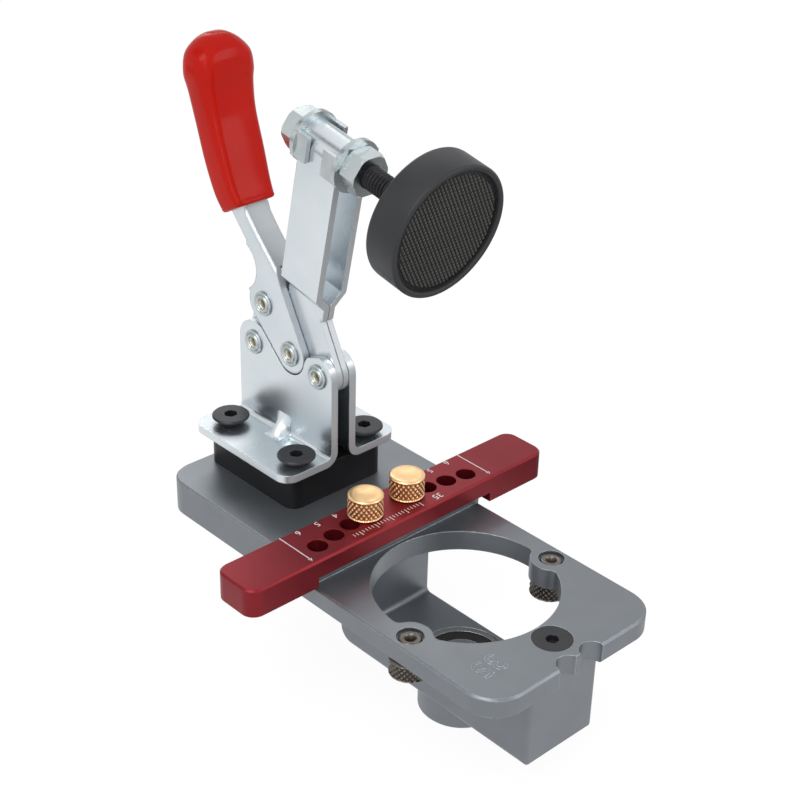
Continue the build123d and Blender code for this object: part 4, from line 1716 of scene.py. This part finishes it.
    def _smooth_rows(self) -> list[tuple[float, ...]]:
        """Fills the grip's rows in along a smooth curve.

        Returns:
            The rows with those between them.
        """
        rows = self.grip_rows
        padded = (rows[0], *rows, rows[-1])
        out = []
        for four in zip(padded, padded[1:], padded[2:], padded[3:]):
            for k in range(self.grip_steps):
                out.append(tuple(self._curve(p, k / self.grip_steps) for p in zip(*four)))
        return out + [rows[-1]]

    @staticmethod
    def _curve(p: Sequence[float], t: float) -> float:
        """Gives a smooth value between the second and the third of four values.

        Args:
            p: The four values.
            t: How far between the two, from 0 to 1.

        Returns:
            The value.
        """
        m0 = (p[2] - p[0]) / 2
        m1 = (p[3] - p[1]) / 2
        bend = (2 * p[1] - 2 * p[2] + m0 + m1) * t ** 3 + (3 * p[2] - 3 * p[1] - 2 * m0 - m1) * t ** 2
        return bend + m0 * t + p[1]

    def _section(self, work: bmesh.types.BMesh, row: Sequence[float], grow: float, along: float) -> Points:
        """Makes one section of the grip: a rectangle with round corners and a point halfway on each side.

        Args:
            work: The bmesh.
            row: Y, Z, lean, depth, width and corner radius.
            grow: How much wider the section is on each side.
            along: How far it is moved along the grip.

        Returns:
            The section's points in order.
        """
        y, z, lean, depth, width, corner = row
        half_w = width / 2 + grow
        half_d = depth / 2 + grow
        most = self.corner_most
        r = max(self.corner_least, min(corner + grow / 2, half_w * most, half_d * most))
        outline = []
        for quarter in range(4):
            across = (half_w - r) * (1 if quarter in (0, 3) else -1)
            through = (half_d - r) * (1 if quarter in (0, 1) else -1)
            for k in range(self.corner_steps + 1):
                turn = math.pi / 2 * (quarter + k / self.corner_steps)
                outline.append((across + r * math.cos(turn), through + r * math.sin(turn)))
            outline.append((half_w * math.cos(turn), half_d * math.sin(turn)))
        a = math.radians(lean)
        foot_y = self.grip_foot[0] + y + along * math.cos(a)
        foot_z = self.grip_foot[1] + z + along * math.sin(a)
        return [
            work.verts.new((u * MM, (foot_y + v * math.sin(a)) * MM, (foot_z - v * math.cos(a)) * MM))
            for u, v in outline
        ]


@dataclass
class SpindleSet:
    """The threaded spindle with its nuts, washers, pad holder and rubber face.

    Attributes:
        pivot: The arm's pivot in the side view.
        tilt: The arm's lean in degrees.
        arm_length: The distance from the pivot to the spindle.
        rod: The thread's crest radius.
        rear: The rod's rear end behind the arm's middle line.
        rod_tip: The corners of its rear end: inwards from the crest, and forward from the end.
        rod_start: Where the thread starts, forward from that end.
        rod_in: How far the rod reaches into the holder.
        rod_step: The distance between the thread's rings.
        rod_sides: The steps round the rod.
        pad: The holder's radius.
        pad_sides: The steps round it.
        face: The distance of the holder's front from the arm's middle line.
        thick: The holder's thickness.
        ring: The width of its front ring.
        hole: The radius of its hole for the rod.
        dish: The dish round that hole: its floor's and its rim's radius, and its depth.
        recess: The depth of the recess for the rubber.
        round_off: The radius of the holder's rims.
        gap: The gap round the rubber.
        pitch: The pitch of the rubber's waffle.
        cells: The mesh steps in one pitch.
        slant: How much narrower than long a diamond is.
        steep: How steep a diamond's flanks are.
        valley: How far the valleys lie behind the holder's front.
        lift: The height of the diamonds.
        border: The plain border round the waffle, and the width over which the waffle fades in.
    """

    pivot: tuple[float, float] = (50.5, 37.6)
    tilt: float = 11.5
    arm_length: float = 57.9
    rod: float = 3.0
    rear: float = 23.3
    rod_tip: tuple[Corner, ...] = ((3.0, 0.0), (0.75, 0.0), (0.1, 0.6))
    rod_start: float = 0.65
    rod_in: float = 2.0
    rod_step: float = 0.125
    rod_sides: int = 36
    pad: float = 16.65
    pad_sides: int = 128
    face: float = 29.3
    thick: float = 9.3
    ring: float = 1.5
    hole: float = 2.9
    dish: tuple[float, float, float] = (4.6, 5.0, 0.3)
    recess: float = 1.6
    round_off: float = 0.8
    gap: float = 0.05
    pitch: float = 1.1
    cells: int = 5
    slant: float = 0.6
    steep: float = 1.7
    valley: float = 1.1
    lift: float = 0.5
    border: tuple[float, float] = (0.7, 0.4)

    def build(self, shop: Workshop) -> None:
        """Dresses the nuts and washers, and makes the rod, the holder and the rubber face.

        Args:
            shop: The workshop.
        """
        shop.dress(ZINC_FASTENER, "flange_washer_front", "flange_washer_rear")
        shop.dress(ZINC_FASTENER, "spindle_nut_front", "spindle_nut_rear")
        rod = self.threaded_rod("spindle_threaded")
        shop.place(rod, BLACK_ROD, Body.SPINDLE, Slot.BLACK_STEEL, "spindle_rod")
        shop.place(self.holder("pad_holder_turned"), PAD_BLACK, Body.SPINDLE, Slot.PAD, "pad_housing")
        shop.place(self.rubber("pad_rubber_waffle"), PAD_RUBBER, Body.SPINDLE, Slot.RUBBER, "pad_face")

    def frame(self) -> Matrix:
        """Gives the spindle's frame.

        Returns:
            The matrix, with its origin on the arm's middle line and its Z axis towards the pad.
        """
        a = math.radians(self.tilt)
        y = self.pivot[0] - self.arm_length * math.sin(a)
        z = self.pivot[1] + self.arm_length * math.cos(a)
        return axis_frame((0, y, z), Vector((0, -math.cos(a), -math.sin(a))))

    def threaded_rod(self, name: str) -> bpy.types.Object:
        """Makes the rod with its thread.

        Args:
            name: The piece's name.

        Returns:
            The object.
        """
        front = self.face - self.thick + self.rod_in
        rings = [
            *plain([(self.rod - inwards, -self.rear + on) for inwards, on in self.rod_tip]),
            *banded(self.rod, -self.rear + self.rod_start, front, self.rod_step),
            (0.0, front, 0.0),
        ]
        return TurnedForm(name, rings, self.rod_sides, Thread()).build(self.frame(), sharp_degrees=35.0)

    def holder(self, name: str) -> bpy.types.Object:
        """Makes the pad holder, with rounded rims and a recess for the rubber.

        Args:
            name: The piece's name.

        Returns:
            The object.
        """
        back = self.face - self.thick
        floor = self.face - self.recess
        inner = self.pad - self.ring
        dish_floor, dish_rim, dish_depth = self.dish
        profile = [
            (self.hole, back + dish_depth),
            (dish_floor, back + dish_depth),
            (dish_rim, back),
            (self.pad, back),
            (self.pad, self.face),
            (inner, self.face),
            (inner, floor),
            (self.hole, floor),
        ]
        rings = rounded(profile, self.round_off)
        form = TurnedForm(name, rings, self.pad_sides, closed=True)
        return form.build(self.frame(), sharp_degrees=40.0)

    def rubber(self, name: str) -> bpy.types.Object:
        """Makes the rubber disc, with a waffle of small raised diamonds.

        Args:
            name: The piece's name.

        Returns:
            The object.
        """
        radius = self.pad - self.ring - self.gap
        border, fade = self.border
        step = self.pitch / self.cells
        count = math.ceil(radius / step) + 1
        work = bmesh.new()
        grid = {}
        for i in range(-count, count + 1):
            for j in range(-count, count + 1):
                point = Vector((i * step, j * step))
                if point.length > radius + step:
                    continue
                rim = min(1.0, max(0.0, (radius - border - point.length) / fade))
                if point.length > radius:
                    point *= radius / point.length
                u = (point.x + point.y * self.slant) / self.pitch
                v = (point.x - point.y * self.slant) / self.pitch
                lift = rim * self.lift * min(1.0, self.steep * min(ridge(u), ridge(v)))
                height = self.face - self.valley + lift
                grid[i, j] = work.verts.new((point.x * MM, point.y * MM, height * MM))
        for i, j in list(grid):
            corners = [grid.get(key) for key in ((i, j), (i + 1, j), (i + 1, j + 1), (i, j + 1))]
            if all(corners):
                work.faces.new(corners)
        bmesh.ops.remove_doubles(work, verts=work.verts, dist=TINY)
        return made_of(work, name, sharp_degrees=25.0, where=self.frame())


def flat_sheet(
    name: str, width: float, depth: float, where: Matrix, material: bpy.types.Material
) -> bpy.types.Object:
    """Makes a flat sheet of the studio.

    Args:
        name: Its name.
        width: Its width, in metres.
        depth: Its depth, in metres.
        where: Its place.
        material: Its material.

    Returns:
        The object.
    """
    work = bmesh.new()
    w, d = width / 2, depth / 2
    work.faces.new([work.verts.new(c) for c in ((-w, -d, 0), (w, -d, 0), (w, d, 0), (-w, d, 0))])
    sheet = made_of(work, name, where=where)
    sheet.data.materials.append(material)
    return sheet


@dataclass(frozen=True)
class Lamp:
    """A soft studio lamp.

    Attributes:
        name: The lamp's name.
        place: Where it hangs, in metres.
        aim: What it looks at, in metres.
        size: Its width and height, in metres.
        watts: Its power.
    """

    name: str
    place: tuple[float, float, float]
    aim: tuple[float, float, float]
    size: tuple[float, float]
    watts: float

    def build(self) -> None:
        """Hangs the lamp."""
        light = bpy.data.lights.new(self.name, "AREA")
        light.shape = "RECTANGLE"
        light.size, light.size_y = self.size
        light.energy = self.watts
        link(self.name, light, axis_frame(Vector(self.place) / MM, Vector(self.place) - Vector(self.aim)))
        LOG.info("hung %s at %.2f W", self.name, self.watts)


@dataclass(frozen=True)
class Card:
    """A dark card that metal mirrors and the camera never sees.

    Attributes:
        name: The card's name.
        place: Its middle, in metres.
        aim: What it faces, in metres.
        size: Its width and height, in metres.
        tone: Its grey: 0 is black and 1 is white.
    """

    name: str
    place: tuple[float, float, float]
    aim: tuple[float, float, float]
    size: tuple[float, float]
    tone: float

    def build(self) -> None:
        """Sets the card up."""
        material = bpy.data.materials.new(self.name)
        board = NodeBoard.of(material)
        glow = board.add("ShaderNodeEmission", {"Color": rgba((self.tone,) * 3), "Strength": 1.0})
        board.add("ShaderNodeOutputMaterial", {"Surface": glow.outputs[0]})
        where = axis_frame(Vector(self.place) / MM, Vector(self.aim) - Vector(self.place))
        card = flat_sheet(self.name, *self.size, where, material)
        card.visible_camera = False
        card.visible_diffuse = False
        card.visible_shadow = False
        LOG.info("set up %s", self.name)


@dataclass
class Studio:
    """The pale floor, the white surround, the lamps, the cards and the camera.

    Attributes:
        floor_z: The height of the floor, in millimetres.
        floor_size: The floor's width and depth, in metres.
        floor_tone: The grey of its matt surface.
        floor_glow: How much of the floor's own white a camera sees over its lit surface.
        floor_white: The strength of that white.
        ambient: The surround's share in the light on matt surfaces.
        eye: The camera's place, in millimetres.
        azimuth: The camera's turn round the object, in degrees.
        elevation: Its height above the level, in degrees.
        roll: Its roll, in degrees.
        lens: Its focal length, in millimetres.
        sensor: Its sensor's width, in millimetres.
        clip: The nearest and the furthest that it sees, in metres.
        lamps: The lamps.
        cards: The dark cards.
    """

    floor_z: float = -36.3
    floor_size: tuple[float, float] = (6.0, 6.0)
    floor_tone: float = 0.92
    floor_glow: float = 0.9
    floor_white: float = 1.04
    ambient: float = 0.5
    eye: tuple[float, float, float] = (-236.921, -224.192, 231.797)
    azimuth: float = -43.583765
    elevation: float = 29.097356
    roll: float = 1.504688
    lens: float = 74.0
    sensor: float = 36.0
    clip: tuple[float, float] = (0.01, 20.0)
    lamps: tuple[Lamp, ...] = (
        Lamp("key_lamp", (-0.50, -0.10, 0.70), (0.0, 0.02, 0.02), (0.45, 0.45), 2.6),
        Lamp("front_lamp", (0.35, -0.60, 0.40), (0.0, 0.0, 0.02), (0.40, 0.40), 1.3),
        Lamp("rear_lamp", (0.30, 0.60, 0.45), (0.0, 0.03, 0.03), (0.40, 0.30), 1.0),
        Lamp("strip_lamp", (-0.42, -0.38, 0.30), (0.0, 0.08, 0.10), (0.05, 0.45), 0.5),
    )
    cards: tuple[Card, ...] = (
        Card("card_above_rear", (-0.20, 0.24, 0.43), (0.0, 0.06, 0.10), (0.10, 0.40), 0.10),
        Card("card_floor_right", (0.17, -0.04, -0.034), (0.17, -0.04, 0.5), (0.18, 0.22), 0.30),
        Card("card_rear_right", (0.34, 0.40, 0.27), (0.0, 0.05, 0.0), (0.34, 0.14), 0.45),
        Card("card_low_left", (-0.36, 0.42, -0.02), (0.0, 0.05, 0.05), (0.30, 0.10), 0.25),
    )

    def build(self) -> None:
        """Sets the whole studio up."""
        for thing in (*self.lamps, *self.cards):
            thing.build()
        self.surround()
        self.floor()
        self.camera()

    @staticmethod
    def seen_plain(board: NodeBoard) -> bpy.types.NodeSocket:
        """Finds the rays that show the surround as it is: camera, glossy and transmission rays.

        Args:
            board: The board of a material or of the world.

        Returns:
            A socket that is 1 for such rays and 0 for the others.
        """
        path = board.add("ShaderNodeLightPath").outputs
        glossy = board.math("MAXIMUM", path["Is Camera Ray"], path["Is Glossy Ray"])
        return board.math("MAXIMUM", glossy, path["Is Transmission Ray"])

    def surround(self) -> None:
        """Makes the white world."""
        world = bpy.data.worlds.new("white_surround")
        bpy.context.scene.world = world
        board = NodeBoard.of(world)
        strength = board.span(self.seen_plain(board), 0.0, 1.0, self.ambient, 1.0)
        sky = board.add("ShaderNodeBackground", {"Color": rgba((1.0,) * 3), "Strength": strength})
        board.add("ShaderNodeOutputWorld", {"Surface": sky.outputs[0]})

    def floor(self) -> None:
        """Lays the floor, which shows white and keeps a faint shadow."""
        material = bpy.data.materials.new("white_floor")
        board = NodeBoard.of(material)
        share = board.math("MULTIPLY", self.seen_plain(board), self.floor_glow)
        matt = board.add("ShaderNodeBsdfDiffuse", {"Color": rgba((self.floor_tone,) * 3)})
        glow = board.add("ShaderNodeEmission", {"Color": rgba((1.0,) * 3), "Strength": self.floor_white})
        mixed = board.add("ShaderNodeMixShader", {0: share, 1: matt.outputs[0], 2: glow.outputs[0]})
        board.add("ShaderNodeOutputMaterial", {"Surface": mixed.outputs[0]})
        flat_sheet("studio_floor", *self.floor_size, axis_frame((0, 0, self.floor_z), UP), material)

    def camera(self) -> None:
        """Sets the camera at the photograph's place."""
        a, e, r = (math.radians(angle) for angle in (self.azimuth, self.elevation, self.roll))
        back = Vector((math.sin(a) * math.cos(e), -math.cos(a) * math.cos(e), math.sin(e)))
        level = Vector((math.cos(a), math.sin(a), 0.0))
        up = back.cross(level)
        right = level * math.cos(r) + up * math.sin(r)
        top = up * math.cos(r) - level * math.sin(r)
        lens = bpy.data.cameras.new("photo_camera")
        lens.lens = self.lens
        lens.sensor_width = self.sensor
        lens.clip_start, lens.clip_end = self.clip
        turn = Matrix((right, top, back)).transposed().to_4x4()
        place = Matrix.Translation(Vector(self.eye) * MM)
        bpy.context.scene.camera = link("photo_camera", lens, place @ turn)


def main() -> None:
    """Builds the looks round the frame."""
    logging.basicConfig(level=logging.INFO, format="%(name)s: %(message)s")
    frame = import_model()
    bpy.context.scene.view_settings.view_transform = "Standard"
    shop = Workshop(frame["nodes"])
    for part in (DrillPlate(), GuideBearing(), StopBar(), ToggleClamp(), SpindleSet()):
        part.build(shop)
    Studio().build()


if __name__ == "__main__":
    main()
